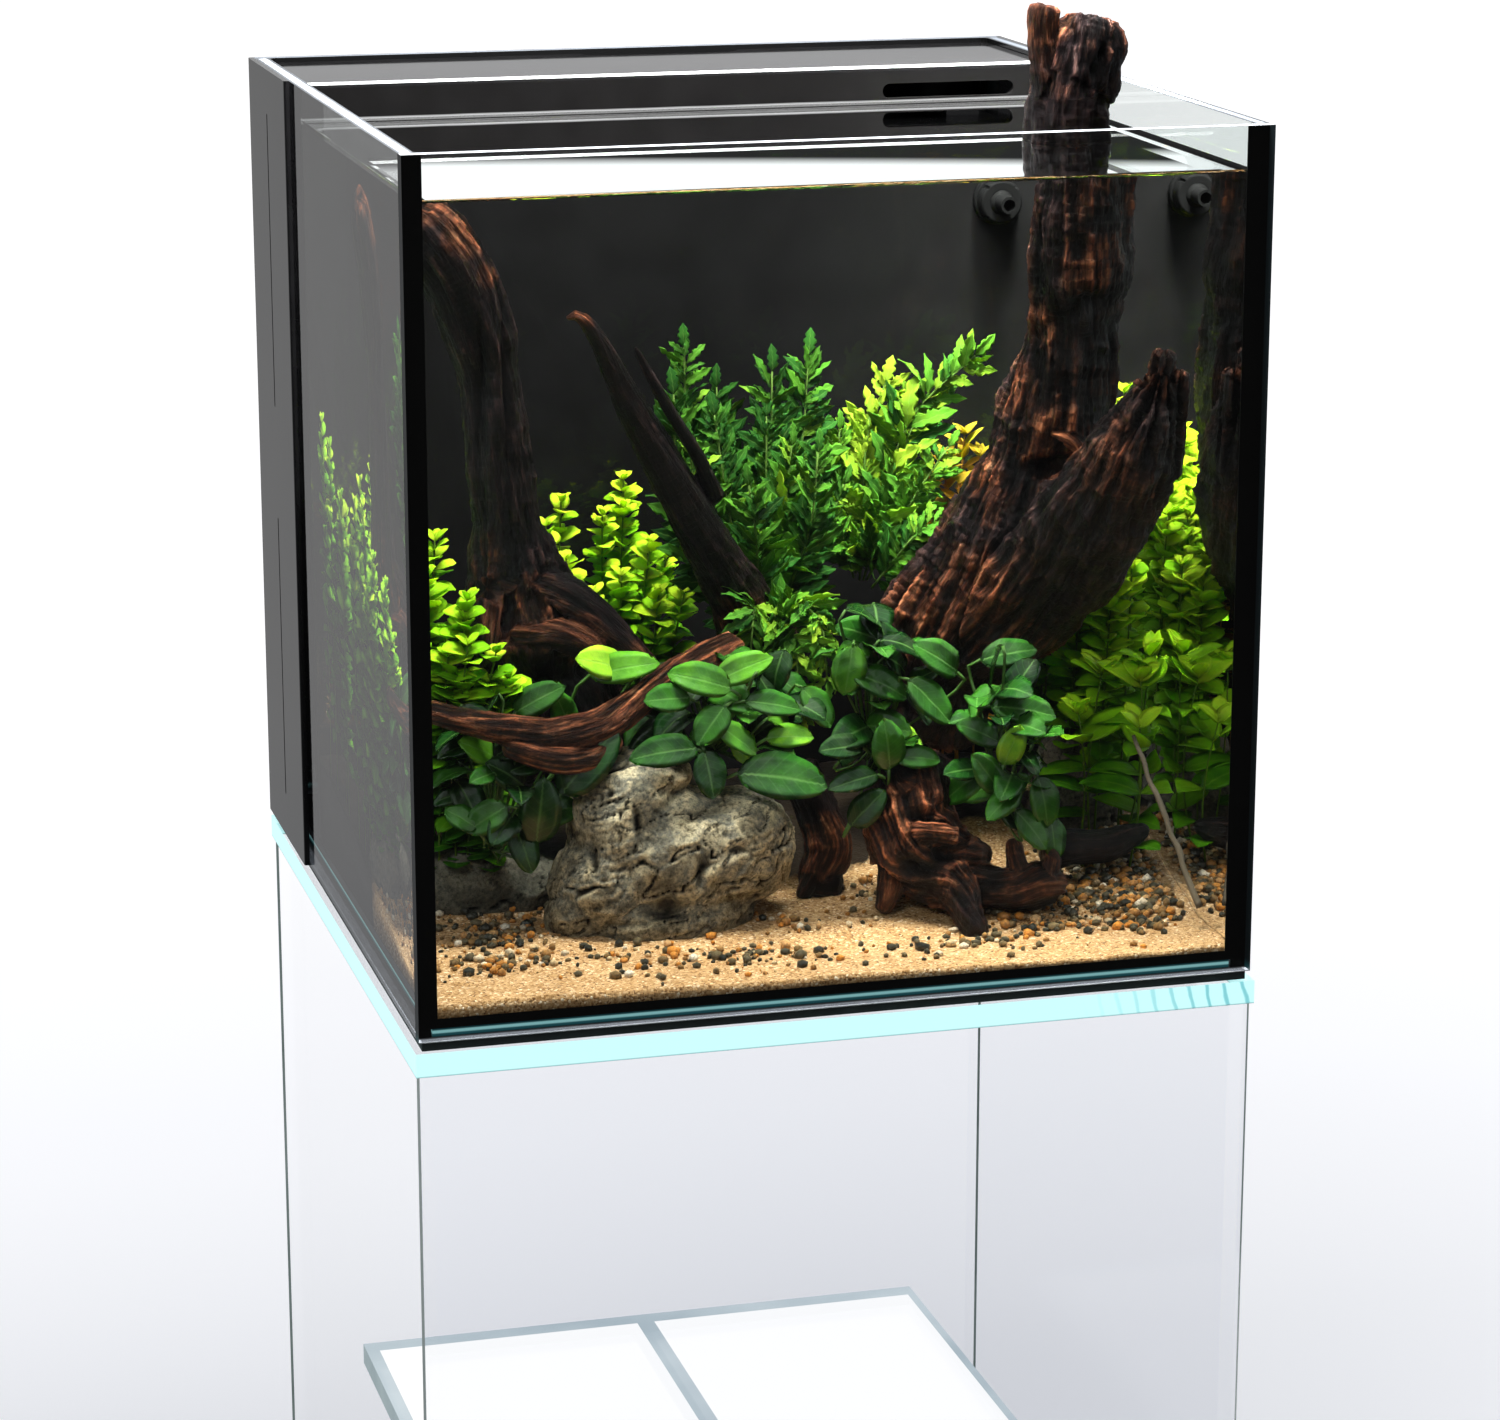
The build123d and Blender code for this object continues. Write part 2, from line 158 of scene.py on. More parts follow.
def spline(points, count):
    """Catmull-Rom curve through rows of numbers, at count even steps along it."""
    p = np.asarray(points, float)
    p = np.vstack([2 * p[0] - p[1], p, 2 * p[-1] - p[-2]])
    out = []
    for i in range(1, len(p) - 2):
        t = np.linspace(0, 1, 24, endpoint=False)[:, None]
        a, b, c, d = p[i - 1], p[i], p[i + 1], p[i + 2]
        out.append(0.5 * (2 * b + (c - a) * t + (2 * a - 5 * b + 4 * c - d) * t ** 2
                          + (3 * b - a - 3 * c + d) * t ** 3))
    out = np.vstack(out + [p[-2][None]])
    run = np.concatenate([[0], np.cumsum(np.linalg.norm(np.diff(out[:, :3], axis=0), axis=1))])
    at = np.linspace(0, run[-1], count)
    return np.stack([np.interp(at, run, out[:, k]) for k in range(p.shape[1])], 1), at


def frames(path):
    """Two directions across a path at each of its points, without twist."""
    tangent = np.gradient(path, axis=0)
    tangent /= np.linalg.norm(tangent, axis=1)[:, None]
    side = np.cross(tangent[0], (0.3, 0.9, 0.2))
    sides = []
    for t in tangent:
        side = side - t * side.dot(t)
        side /= np.linalg.norm(side)
        sides.append(side)
    sides = np.array(sides)
    return tangent, sides, np.cross(tangent, sides)


def tube(path, radius, around=8):
    """Closed tube along a path. Returns points and faces."""
    _, side, other = frames(path)
    angle = np.linspace(0, 2 * np.pi, around, endpoint=False)
    ring = (np.cos(angle)[None, :, None] * side[:, None] + np.sin(angle)[None, :, None] * other[:, None])
    verts = (path[:, None] + ring * np.asarray(radius)[:, None, None]).reshape(-1, 3)
    faces = grid_faces(len(path), around, wrap=True).tolist()
    first, last = list(range(around)), [len(path) * around - around + k for k in range(around)]
    return verts, faces + [first[::-1], last]


def join(parts):
    """One list of points and faces from several."""
    verts, faces, start = [], [], 0
    for v, f in parts:
        verts.append(v)
        faces += [[i + start for i in face] for face in f]
        start += len(v)
    return np.vstack(verts), faces


# ---------------------------------------------------------------- material helpers
class Value:
    """What a material node gives out: a number, a colour or a shader. Numbers take arithmetic."""

    def __init__(self, tree, socket):
        self.tree, self.socket = tree, socket

    def math(self, operation, other=0.0):
        return add(self.tree, "Math", {0: self, 1: other}, operation=operation)

    def __add__(self, other):
        return self.math("ADD", other)

    def __sub__(self, other):
        return self.math("SUBTRACT", other)

    def __rsub__(self, other):
        return add(self.tree, "Math", {0: other, 1: self}, operation="SUBTRACT")

    def __mul__(self, other):
        return self.math("MULTIPLY", other)

    def __pow__(self, other):
        return self.math("POWER", other)

    def __abs__(self):
        return self.math("ABSOLUTE")

    def __gt__(self, other):
        return self.math("GREATER_THAN", other)

    def __lt__(self, other):
        return self.math("LESS_THAN", other)

    def max(self, other):
        return self.math("MAXIMUM", other)

    def min(self, other):
        return self.math("MINIMUM", other)

    def sine(self):
        return self.math("SINE")

    def spread(self, low, high, start=0.0, end=1.0):
        """Maps low..high to start..end, held at both ends."""
        return add(self.tree, "MapRange", {0: self, 1: low, 2: high, 3: start, 4: end})

    def ramp(self, *stops):
        """Colour through (place, colour) stops, where a colour may be one grey number."""
        made = add(self.tree, "ValToRGB", {0: self})
        elements = made.socket.node.color_ramp.elements
        while len(elements) < len(stops):
            elements.new(0.5)
        for element, (place, colour) in zip(elements, stops):
            element.position = place
            element.color = (*colour, 1) if isinstance(colour, tuple) else (colour, colour, colour, 1)
        return made

    def channel(self, axis):
        return add(self.tree, "SeparateXYZ", {0: self}, axis)

    def grey(self):
        return add(self.tree, "CombineColor", {0: self, 1: self, 2: self})

    def tinted(self, other):
        """This colour multiplied by another."""
        return add(self.tree, "Mix", {0: 1.0, 6: self, 7: other}, 2, data_type="RGBA", blend_type="MULTIPLY")

    def bump(self, strength, distance):
        return add(self.tree, "Bump", {"Height": self, "Strength": strength, "Distance": distance})

    def beside(self, output):
        """Another output of the same node."""
        return Value(self.tree, self.socket.node.outputs[output])


def add(tree, kind, values=None, output=0, **settings):
    """Adds a node, sets its properties and its inputs by name or number, and gives back one output."""
    made = tree.nodes.new("ShaderNode" + kind)
    for key, value in settings.items():
        setattr(made, key, value)
    for key, value in (values or {}).items():
        if isinstance(value, Value):
            tree.links.new(value.socket, made.inputs[key])
        else:
            made.inputs[key].default_value = (*value, 1) if isinstance(value, tuple) else value
    return Value(tree, made.outputs[output]) if made.outputs else None


def ray(tree, kind):
    """1 for light paths of one kind."""
    return add(tree, "LightPath", output=f"Is {kind} Ray")


class Paint:
    """The nodes of one material."""

    def __init__(self, name):
        self.material = bpy.data.materials.new(name)
        self.material.use_nodes = True
        self.tree = self.material.node_tree
        self.tree.nodes.clear()

    def add(self, kind, values=None, output=0, **settings):
        return add(self.tree, kind, values, output, **settings)

    def place(self):
        return self.add("TexCoord", output="Object")

    def at(self, axis):
        """The place along one axis of the frame."""
        return self.place().channel(axis)

    def normal(self, axis):
        return self.add("NewGeometry", output="True Normal").channel(axis)

    def attribute(self, name):
        return self.add("Attribute", output="Vector", attribute_name=name)

    def noise(self, scale, detail=4.0, rough=0.5, vector=None):
        return self.add("TexNoise",
                        {"Vector": vector or self.place(), "Scale": scale, "Detail": detail,
                         "Roughness": rough}, "Fac")

    def creases(self, *stops):
        """Colour through stops that run from the hollows to the sharp edges of the mesh."""
        return self.add("NewGeometry", output="Pointiness").ramp(*stops)

    def mix_colour(self, share, a, b):
        return self.add("Mix", {0: share, 6: a, 7: b}, 2, data_type="RGBA")

    def mix_shader(self, share, a, b):
        return self.add("MixShader", {0: share, 1: a, 2: b})

    def principled(self, colour, rough, glow=0.0, **more):
        """Surface of one colour, which also shines with that colour if glow is given."""
        values = {"Base Color": colour, "Roughness": rough}
        values.update({SOCKETS.get(key, key): value for key, value in more.items()})
        if glow:
            values.update({"Emission Color": colour, "Emission Strength": glow})
        return self.add("BsdfPrincipled", values)

    def glossy(self, colour, rough):
        return self.add("BsdfGlossy", {"Color": colour, "Roughness": rough})

    def emission(self, colour, strength):
        return self.add("Emission", {"Color": colour, "Strength": strength})

    def finish(self, shader):
        self.add("OutputMaterial", {"Surface": shader})
        return self.material


def plain(name, colour, rough, grain=0.0, grain_scale=900.0, mottle=0.12, **more):
    """Moulded or sheet material: slight mottling, fine surface grain."""
    paint = Paint(name)
    dark, light = (tuple(min(1, c * share) for c in colour) for share in (1 - mottle, 1 + mottle))
    base = paint.noise(35.0, 5.0).ramp((0.35, dark), (0.65, light))
    worn = paint.noise(60.0, 6.0).spread(0.0, 1.0, rough * 0.85, rough * 1.15)
    if grain:
        more["normal"] = paint.noise(grain_scale, 2.0).bump(grain, 0.0004)
    return paint.finish(paint.principled(base, worn, **more))


# ---------------------------------------------------------------- glass and water
def edge_mask(paint, axis):
    """1 on the faces that don't look along the sheet's thickness axis."""
    return abs(paint.normal(axis)) < 0.5


def slant_mirror(paint):
    """Share of light a glass face mirrors, the same from either side of it."""
    return paint.add("LayerWeight", {"Blend": 0.5}, "Facing") ** 5.0 * 0.96 + 0.04


def across(paint, name, axis):
    """0 to 1 from one face of a sheet to the other, along its thickness."""
    low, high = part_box(name)
    return paint.at(axis).spread(float(low[axis]), float(high[axis]))


def clear_face(paint, tint, share):
    """Clear sheet that mirrors a share of the light."""
    clear = paint.add("BsdfTransparent", {"Color": tint})
    return paint.mix_shader(share, clear, paint.glossy((1, 1, 1), 0.0))


def tank_pane(side, axis):
    """Tank pane: clear, mirroring on its outer face and above the water. Its top edge carries a glowing
    painted sheen, pale mid-thickness and dark at its faces; its upright edges are bonded black, and the
    bottom pane's edge is dark with one bright line of painted reflection. The back pane has a black film
    outside."""
    paint = Paint(f"tank_glass_{side}")
    height = paint.at(2)
    outer = abs(paint.at(axis)) > OUTER - HALF_PANE
    share = slant_mirror(paint) * ((height > WATER_Z).max(outer) * 0.93 + 0.02)
    face = clear_face(paint, (0.965, 0.985, 0.98), share)
    # painted sheen on the rim: the side's colour, pale mid-thickness and dark towards both faces; every edge
    # of the pane glows a little
    rim = RIM_PAINTED_SHEEN.get(side, OTHER_RIM_PAINTED_SHEEN)
    painted_edge_sheen = abs(across(paint, f"tank_{side}_pane", axis) - 0.5).spread(0.2, 0.34, 1.0, 0.12)
    top = paint.noise(30.0, 3.0).ramp((0.3, tuple(0.8 * c for c in rim)), (0.7, rim)).tinted(painted_edge_sheen.grey())
    deep, line, dark = (0.01, 0.05, 0.06), (0.30, 0.62, 0.64), (0.004, 0.006, 0.007)
    stops = ((0.0, deep), (0.5, dark))
    # painted reflection: the bottom pane's edge gets one bright cyan line
    if side == "bottom":
        stops = ((0.0, deep), (0.14, (0.02, 0.10, 0.12)), (0.2, line), (0.3, line),
                 (0.36, (0.01, 0.06, 0.07)), (0.8, dark))
    seam = height.spread(BASE_Z, BASE_Z + 10 * MM).ramp(*stops)
    edge = paint.principled(paint.mix_colour(paint.normal(2) > 0.5, seam, top), 0.35, glow=0.4, specular=0.08)
    if side == "back":
        film = paint.principled((0.006, 0.006, 0.0065), 0.12)
        face = paint.mix_shader(paint.at(1) > BACK_Y + HALF_PANE, face, film)
    return paint.finish(paint.mix_shader(edge_mask(paint, axis), face, edge))


def stand_face(paint, clearness=(0.97, 0.975, 0.98), mirror=0.6):
    """Clear stand glass that mirrors at a slant."""
    return clear_face(paint, clearness, slant_mirror(paint) * mirror)


def lit_edge(paint, colour, glow):
    """Cut glass edge whose colour glows: painted light for the light the edge gathers."""
    return paint.principled(colour, 0.15, glow=glow, IOR=1.5)


def streaked(paint, dull, bright):
    """Painted glow colour of a cut edge, uneven along its length."""
    return paint.noise(22.0, 4.0, 0.6).ramp((0.3, dull), (0.62, bright))


def wall_glass(name, axis, clearness, rear):
    """Upright stand glass. Seen through the sheet, an edge shows as a thin line of painted glow at its outer
    corner. A side wall (rear) is bonded at the front, so that edge doesn't show."""
    paint = Paint(name)
    x, y = paint.at(0), paint.at(1)
    if rear:
        shown = (abs(x) > OUTER - 1.6 * MM) * (y > 0.0)
    else:
        shown = (x < 0.0).max(y < 2.5 * MM - OUTER)
    face = stand_face(paint, clearness, 0.08 if rear else 0.5)
    edge = lit_edge(paint, streaked(paint, *WALL_EDGE), 0.4)
    return paint.finish(paint.mix_shader(edge_mask(paint, axis) * shown, face, edge))


def plate_glass(name):
    """Thick plate whose edge glows, painted light: bright cyan with a dark lower line, and a few wavy dark
    streaks of painted reflection towards one end.
    """
    paint = Paint(name)
    x, up = paint.at(0), across(paint, "stand_top_plate", 2)
    # painted reflection: wavy dark streaks in the glowing edge towards one end
    wave = (x * 620.0 + (up * 2.2 + paint.noise(60.0, 3.0) * 3.0)).sine().spread(0.62, 0.95)
    end = x.spread(0.13, 0.2, 0.0, 0.75)
    colour = paint.mix_colour(wave * end, (0.55, 0.94, 0.95), (0.10, 0.45, 0.5))
    colour = paint.mix_colour(up.spread(0.0, 0.07, 0.9, 0.0), colour, (0.16, 0.25, 0.25))
    return paint.finish(paint.mix_shader(edge_mask(paint, 2), stand_face(paint),
                                         lit_edge(paint, colour, 0.85)))


def shelf_glass(name):
    """Shelf with painted light: it glows white through its top, and its far edges and the web under it are
    painted into the glow as grey bands that seem to show through."""
    paint = Paint(name)
    low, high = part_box("stand_shelf")
    web_low, web_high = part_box("stand_web")
    x, y = paint.at(0), paint.at(1)
    far = y > float(high.y) - 13 * MM
    web = abs(x - float(web_low.x + web_high.x) / 2) < 5.5 * MM
    sides = (x < float(low.x) + 8 * MM).max(x > float(high.x) - 5 * MM)
    # painted see-through: grey bands for the far and side edges and the web, inside the white glow
    soft = paint.noise(12.0, 3.0).ramp((0.3, (0.40, 0.48, 0.53)), (0.7, (0.56, 0.64, 0.68)))
    painted_glow = paint.emission(paint.mix_colour(far.max(web).max(sides), (1.0, 1.0, 1.0), soft), 1.15)
    face = paint.mix_shader(0.93, stand_face(paint), painted_glow)
    edge = lit_edge(paint, streaked(paint, *SHELF_EDGE), 0.5)
    return paint.finish(paint.mix_shader(edge_mask(paint, 2), face, edge))


def web_glass(name):
    """Upright web under the shelf; its cut edge glows, painted light."""
    paint = Paint(name)
    edge = lit_edge(paint, streaked(paint, *SHELF_EDGE), 0.5)
    return paint.finish(paint.mix_shader(edge_mask(paint, 0), stand_face(paint), edge))


def water_material():
    """Clear water that bends light. Its surface mirrors at a slant and its sides add no mirror of their own,
    because the glass against them has nearly the same index. Along the right pane the surface carries a
    painted dark band."""
    paint = Paint("water")
    tint = (0.985, 0.995, 0.985)
    ripple = paint.noise(9.0, 2.0).bump(0.02, 0.002)
    clear = paint.principled(tint, 0.0, IOR=WATER_IOR, transmission=1.0, normal=ripple)
    bend = paint.add("BsdfRefraction", {"Color": tint, "Roughness": 0.0, "IOR": WATER_IOR})
    rise = paint.normal(2)
    entering = (abs(rise) < 0.3) * (1.0 - paint.add("NewGeometry", output="Backfacing"))
    body = paint.mix_shader(entering, clear, bend)
    upper = rise > 0.3
    mirrored = (upper * slant_mirror(paint) * 2.0).min(0.985)
    surface = paint.mix_shader(mirrored, body, paint.glossy((1, 1, 1), 0.0))
    # painted shade: along the right pane the surface mirrors only dark grey, a dark band for the meniscus
    dark_meniscus = (paint.at(0) > RIGHT_X - 4 * MM) * upper
    return paint.finish(paint.mix_shader(dark_meniscus, surface, paint.glossy((0.02, 0.02, 0.02), 0.1)))


def closed_slab(top, shape, bottom):
    """Solid between a grid of surface points and a flat bottom. Returns points and faces."""
    rows, cols = shape
    index = np.arange(rows * cols).reshape(rows, cols)
    loop = np.concatenate([index[0], index[1:, -1], index[-1, -2::-1], index[-2:0:-1, 0]]).tolist()
    low = top[loop].copy()
    low[:, 2] = bottom
    start, n = len(top), len(loop)
    faces = grid_faces(rows, cols).tolist()
    faces += [[loop[(k + 1) % n], loop[k], start + k, start + (k + 1) % n] for k in range(n)]
    faces.append([start + k for k in range(n)][::-1])
    return np.vstack([top, low]), faces


def water_body(name, y0, y1, level):
    """Closed body of water whose surface climbs a little at the walls."""
    inset = 0.3 * MM
    x0, x1, y0, y1 = LEFT_X + inset, RIGHT_X - inset, y0 + inset, y1 - inset

    def lines(a, b):
        near = np.array([0, 0.3, 0.7, 1.2, 1.9, 2.8, 4.0, 5.6, 8.0]) * MM
        middle = np.linspace(a + 20 * MM, b - 20 * MM, 22)
        return np.concatenate([a + near, middle, (b - near)[::-1]])

    gx, gy = np.meshgrid(lines(x0, x1), lines(y0, y1))
    wall = np.minimum(np.minimum(gx - x0, x1 - gx), np.minimum(gy - y0, y1 - gy))
    top = np.stack([gx, gy, level + 2.4 * MM * np.exp(-wall / (2.0 * MM))], -1).reshape(-1, 3)
    verts, faces = closed_slab(top, gx.shape, FLOOR_Z + 1 * MM)
    piece = add_piece(name, verts, faces, water_material(), shade=False)
    piece.visible_shadow = False
    piece.visible_diffuse = False


def glass():
    """Materials of every pane and plate, and the two bodies of water."""
    sides = (("front", 1), ("left", 0), ("right", 0), ("back", 1), ("bottom", 2))
    panes = {f"tank_{side}_pane": tank_pane(side, axis) for side, axis in sides}
    plate = plate_glass("stand_plate_glass")
    wall_x = wall_glass("stand_wall_glass_x", 0, (0.995, 0.996, 0.997), rear=True)
    wall_y = wall_glass("stand_wall_glass_y", 1, (0.948, 0.952, 0.962), rear=False)
    panes.update(stand_top_plate=plate, stand_base_plate=plate, stand_shelf=shelf_glass("stand_shelf_glass"),
                 stand_web=web_glass("stand_web_glass"), stand_left_panel=wall_x, stand_right_panel=wall_x,
                 stand_front_panel=wall_y)
    for name, material in panes.items():
        dress(name, material)
        NODES[name].visible_shadow = False
        NODES[name].visible_diffuse = False
    water_body("water_display", FRONT_Y, WALL_Y, WATER_Z)
    water_body("water_chamber", CHAMBER_Y, BACK_Y, WATER_Z - CHAMBER_DROP)


def dress(name, material):
    """Puts a material on every slot of a CAD node."""
    slots = NODES[name].material_slots
    if not slots:
        NODES[name].data.materials.append(material)
    for s in slots:
        s.material = material


# ---------------------------------------------------------------- hard parts that keep their CAD shape
def lid_material():
    """Polished black sheet whose cut front edge has a painted glow for the light it catches."""
    paint = Paint("lid_acrylic")
    dust = paint.noise(60.0, 6.0)
    black = dust.ramp((0.35, (0.010, 0.010, 0.011)), (0.65, (0.014, 0.014, 0.015)))
    sheet = paint.principled(black, dust.spread(0.0, 1.0, 0.05, 0.09))
    painted_glow = paint.noise(25.0, 3.0).ramp((0.3, (0.7, 0.72, 0.74)), (0.7, (0.95, 0.96, 0.97)))
    glowing_cut = (paint.normal(1) < -0.7) * (across(paint, "rear_lid", 2) > 0.45)
    return paint.finish(paint.mix_shader(glowing_cut, sheet, paint.principled(painted_glow, 0.2, glow=0.6)))


def partition_material():
    """Black wall with a painted glint at the water: its wet line glows as two thin bright lines."""
    paint = Paint("partition_acrylic")
    black = paint.noise(35.0, 5.0).ramp((0.35, (0.0062, 0.006, 0.0063)), (0.65, (0.0082, 0.008, 0.0084)))
    sheet = paint.principled(black, 0.5, specular=0.08)
    drift = (paint.noise(25.0, 3.0) - 0.5) * 0.0006
    height = (paint.at(2) - WATER_Z + drift).spread(0.0, 4 * MM)
    glint = height.ramp((0.0, 0.12), (0.25, 0.45), (0.45, 0.10), (0.62, (0.85, 0.86, 0.87)), (0.8, 0.3),
                        (0.88, 0))
    here = (height > 0.001) * (height < 0.9)
    return paint.finish(paint.mix_shader(here, sheet, paint.emission(glint, 0.9)))


def hard_parts():
    """Material of every part that is neither glass nor scape."""
    acrylic = plain("black_acrylic", (0.008, 0.008, 0.009), 0.10, grain=0.02, mottle=0.2, specular=0.3)
    silicone = plain("black_silicone", (0.003, 0.003, 0.003), 0.4, grain=0.05, specular=0.1)
    foam = plain("black_foam", (0.012, 0.012, 0.012), 0.85, grain=0.6, grain_scale=1600.0)
    plastic = plain("black_plastic", (0.018, 0.018, 0.019), 0.35, grain=0.15)
    groups = {acrylic: ("side_cover_left", "side_cover_right", "lid_ledges", "baffle_intake", "baffle_weir"),
              lid_material(): ("rear_lid",), partition_material(): ("partition_wall",),
              silicone: ("silicone_corners", "silicone_bottom"), foam: ("levelling_mat",),
              plastic: ("media_basket", "pump_body", "pump_intake_cover", "return_elbow"),
              plain("nozzle_plastic", (0.005, 0.005, 0.0052), 0.5, specular=0.08): (
        "nozzle_bulkhead", "nozzle_nut", "nozzle_collar", "nozzle_ball"),
              plain("grey_plastic", (0.32, 0.33, 0.35), 0.4, grain=0.15): ("pump_flow_dial",),
              plain("rotor_plastic", (0.1, 0.1, 0.11), 0.45, grain=0.15): ("pump_rotor",),
              plain("ceramic_pin", (0.8, 0.79, 0.75), 0.25): ("pump_shaft",),
              plain("smoky_hose", (0.12, 0.15, 0.14), 0.25, grain=0.05): ("return_hose",),
              plain("clear_rubber", (0.7, 0.74, 0.75), 0.3): ("stand_pads", "pump_suction_feet"),
              plain("filter_sponge", (0.05, 0.13, 0.3), 0.95, grain=1.0,
                    grain_scale=420.0): ("filter_sponge",),
              plain("filter_floss", (0.84, 0.86, 0.85), 0.95, grain=0.9,
                    grain_scale=260.0): ("filter_floss",),
              plain("ceramic_rings", (0.62, 0.55, 0.44), 0.8, grain=1.0,
                    grain_scale=110.0): ("ceramic_media",)}
    for material, names in groups.items():
        for name in names:
            dress(name, material)


# ---------------------------------------------------------------- world, floor, lamps, camera
def surround():
    """White surround that is dimmer in front, and darker to mirrors and diffuse light than to the eye."""
    world = bpy.data.worlds.new("studio")
    bpy.context.scene.world = world
    world.use_nodes = True
    tree = world.node_tree
    tree.nodes.clear()
    direction = add(tree, "TexCoord", output="Generated")
    ahead, rise = direction.channel(1), direction.channel(2)
    seen = ray(tree, "Camera").max(ray(tree, "Transmission"))
    low = rise.spread(0.10, 0.15).ramp((0.0, 0.5), (0.34, 0.5), (0.42, 0.02), (0.595, 0.02),
                                       (0.63, 1.0)) * 1.2
    softbox = rise.spread(0.55, 0.8, 0.0, 1.3)
    mirrored = (low * ahead.spread(-0.1, 0.5, 0.03, 1.0)).max(softbox)
    overhead = rise.spread(0.0, 0.9, 0.03, 0.3)
    unseen = ray(tree, "Glossy") * mirrored + ray(tree, "Diffuse") * overhead
    ground = add(tree, "Background", {"Color": (0.985, 0.99, 1.0), "Strength": seen.max(unseen)})
    add(tree, "OutputWorld", {0: ground})


def floor_stage():
    """Pale floor that glows whiter away from the stand, with painted shade greying it near the stand. Mirrors
    see it dimmed, most in front, and it gives little diffuse light.
    """
    size = 40.0
    mesh = bpy.data.meshes.new("floor")
    mesh.from_pydata([(-size, -size, 0), (size, -size, 0), (size, size, 0), (-size, size, 0)], [],
                     [(0, 1, 2, 3)])
    floor = bpy.data.objects.new("floor", mesh)
    bpy.context.scene.collection.objects.link(floor)
    paint = Paint("floor")
    far = paint.add("VectorMath", {0: paint.place()}, "Value", operation="LENGTH")
    # painted shade: the floor's glow greys towards the stand
    colour = far.spread(0.3, 6.0).ramp((0.0, (0.535, 0.55, 0.60)), (0.12, (0.62, 0.635, 0.67)),
                                       (0.28, (0.82, 0.83, 0.86)), (0.5, 1))
    lit = paint.add("BsdfPrincipled",
                    {"Base Color": (0.5, 0.5, 0.52), "Roughness": 0.9, "Emission Color": colour,
                     "Emission Strength": 0.95})
    # painted shade in mirrors: glossy rays see the floor mostly black, more so in front
    dim = ray(paint.tree, "Glossy") * paint.at(1).spread(-0.4, 0.2, 0.97, 0.69)
    dim = dim.max(ray(paint.tree, "Diffuse") * 0.9)
    mesh.materials.append(paint.finish(paint.mix_shader(dim, lit, paint.emission((0, 0, 0), 0.0))))


def lamp(name, place, target, width, height, power, colour=(1, 1, 1)):
    """Soft rectangular lamp that isn't seen itself. Returns its light data."""
    data = bpy.data.lights.new(name, "AREA")
    data.shape, data.size, data.size_y, data.energy, data.color = "RECTANGLE", width, height, power, colour
    made = bpy.data.objects.new(name, data)
    made.location = place
    made.rotation_euler = (Vector(target) - Vector(place)).to_track_quat("-Z", "Y").to_euler()
    bpy.context.scene.collection.objects.link(made)
    made.visible_camera = made.visible_glossy = made.visible_transmission = False
    return data


def studio():
    """Surround, floor, lamps and camera, which looks down from the front left."""
    scene = bpy.context.scene
    scene.view_settings.view_transform = "Standard"
    surround()
    floor_stage()
    middle = (0, 0, BASE_Z + 0.1)
    lamp("tank_lamp", (0.0, -0.10, RIM_Z + 0.36), (0.0, -0.07, BASE_Z), 0.36, 0.18, 15.0, (1.0, 0.985, 0.94))
    corner = lamp("corner_lamp", (0.17, -0.03, RIM_Z + 0.30), (0.19, 0.02, BASE_Z + 0.15), 0.08, 0.08, 2.6,
                  (1.0, 1.0, 0.92))
    corner.spread = math.radians(50)
    lamp("key", (-1.5, -2.4, 2.9), middle, 1.0, 1.0, 26.0)
    lamp("fill", (2.2, -2.0, 1.8), middle, 1.6, 1.6, 4.0)
    data = bpy.data.cameras.new("camera")
    camera = bpy.data.objects.new("camera", data)
    scene.collection.objects.link(camera)
    data.sensor_width = SENSOR
    data.lens = LENS
    camera.location = (-0.6131, -2.2762, BASE_Z + 0.7215)
    camera.rotation_euler = (math.radians(90 - PITCH), 0, math.radians(-TURN))
    scene.camera = camera


# ---------------------------------------------------------------- scape: shared shapes
def spot(points):
    """Tank millimetres (from the middle, up from the tank's underside) to metres in the frame."""
    return np.asarray(points, float)[..., :3] * MM + (0, 0, BASE_Z)


def in_tank(verts):
    """Eases points back inside the display section, as leaves bend against glass."""
    verts = np.array(verts)
    soft = 7 * MM
    for axis, low, high in ((0, LEFT_X, RIGHT_X), (1, FRONT_Y, WALL_Y)):
        low, high = low + 1.5 * MM, high - 1.5 * MM
        past = np.maximum(verts[:, axis] - (high - soft), 0)
        verts[:, axis] -= past - soft * (1 - np.exp(-past / soft))
        past = np.maximum((low + soft) - verts[:, axis], 0)
        verts[:, axis] += past - soft * (1 - np.exp(-past / soft))
    return verts


def sand_height(x, y):
    """Height of the sand above the tank's underside, all in millimetres."""
    level = np.interp(y, (-216, -150, -80, 0, 110), (12.5, 15, 28, 48, 62))
    level = level + 4.0 * smooth(-x, -150, 200) * smooth(-y, 60, 140)
    p = np.stack([x / 42, y / 42, np.zeros_like(x)], -1)
    return level + 1.6 * fbm(p, 3, 11) + 0.5 * noise(p * 5, 12)


def melt(parts, cell):
    """Joins closed shapes into one skin of even quads. Returns points, normals and faces in metres."""
    verts, faces = join(parts)
    mesh = bpy.data.meshes.new("melt")
    mesh.from_pydata(verts.tolist(), [], faces)
    thing = bpy.data.objects.new("melt", mesh)
    bpy.context.scene.collection.objects.link(thing)
    thing.modifiers.new("skin", "REMESH").voxel_size = cell * MM
    done = bpy.data.meshes.new_from_object(thing.evaluated_get(bpy.context.evaluated_depsgraph_get()))
    count = len(done.vertices)
    points, normals = np.empty(count * 3), np.empty(count * 3)
    done.vertices.foreach_get("co", points)
    done.vertices.foreach_get("normal", normals)
    skin = [list(p.vertices) for p in done.polygons]
    bpy.data.objects.remove(thing)
    bpy.data.meshes.remove(mesh)
    bpy.data.meshes.remove(done)
    return points.reshape(-1, 3), normals.reshape(-1, 3), skin


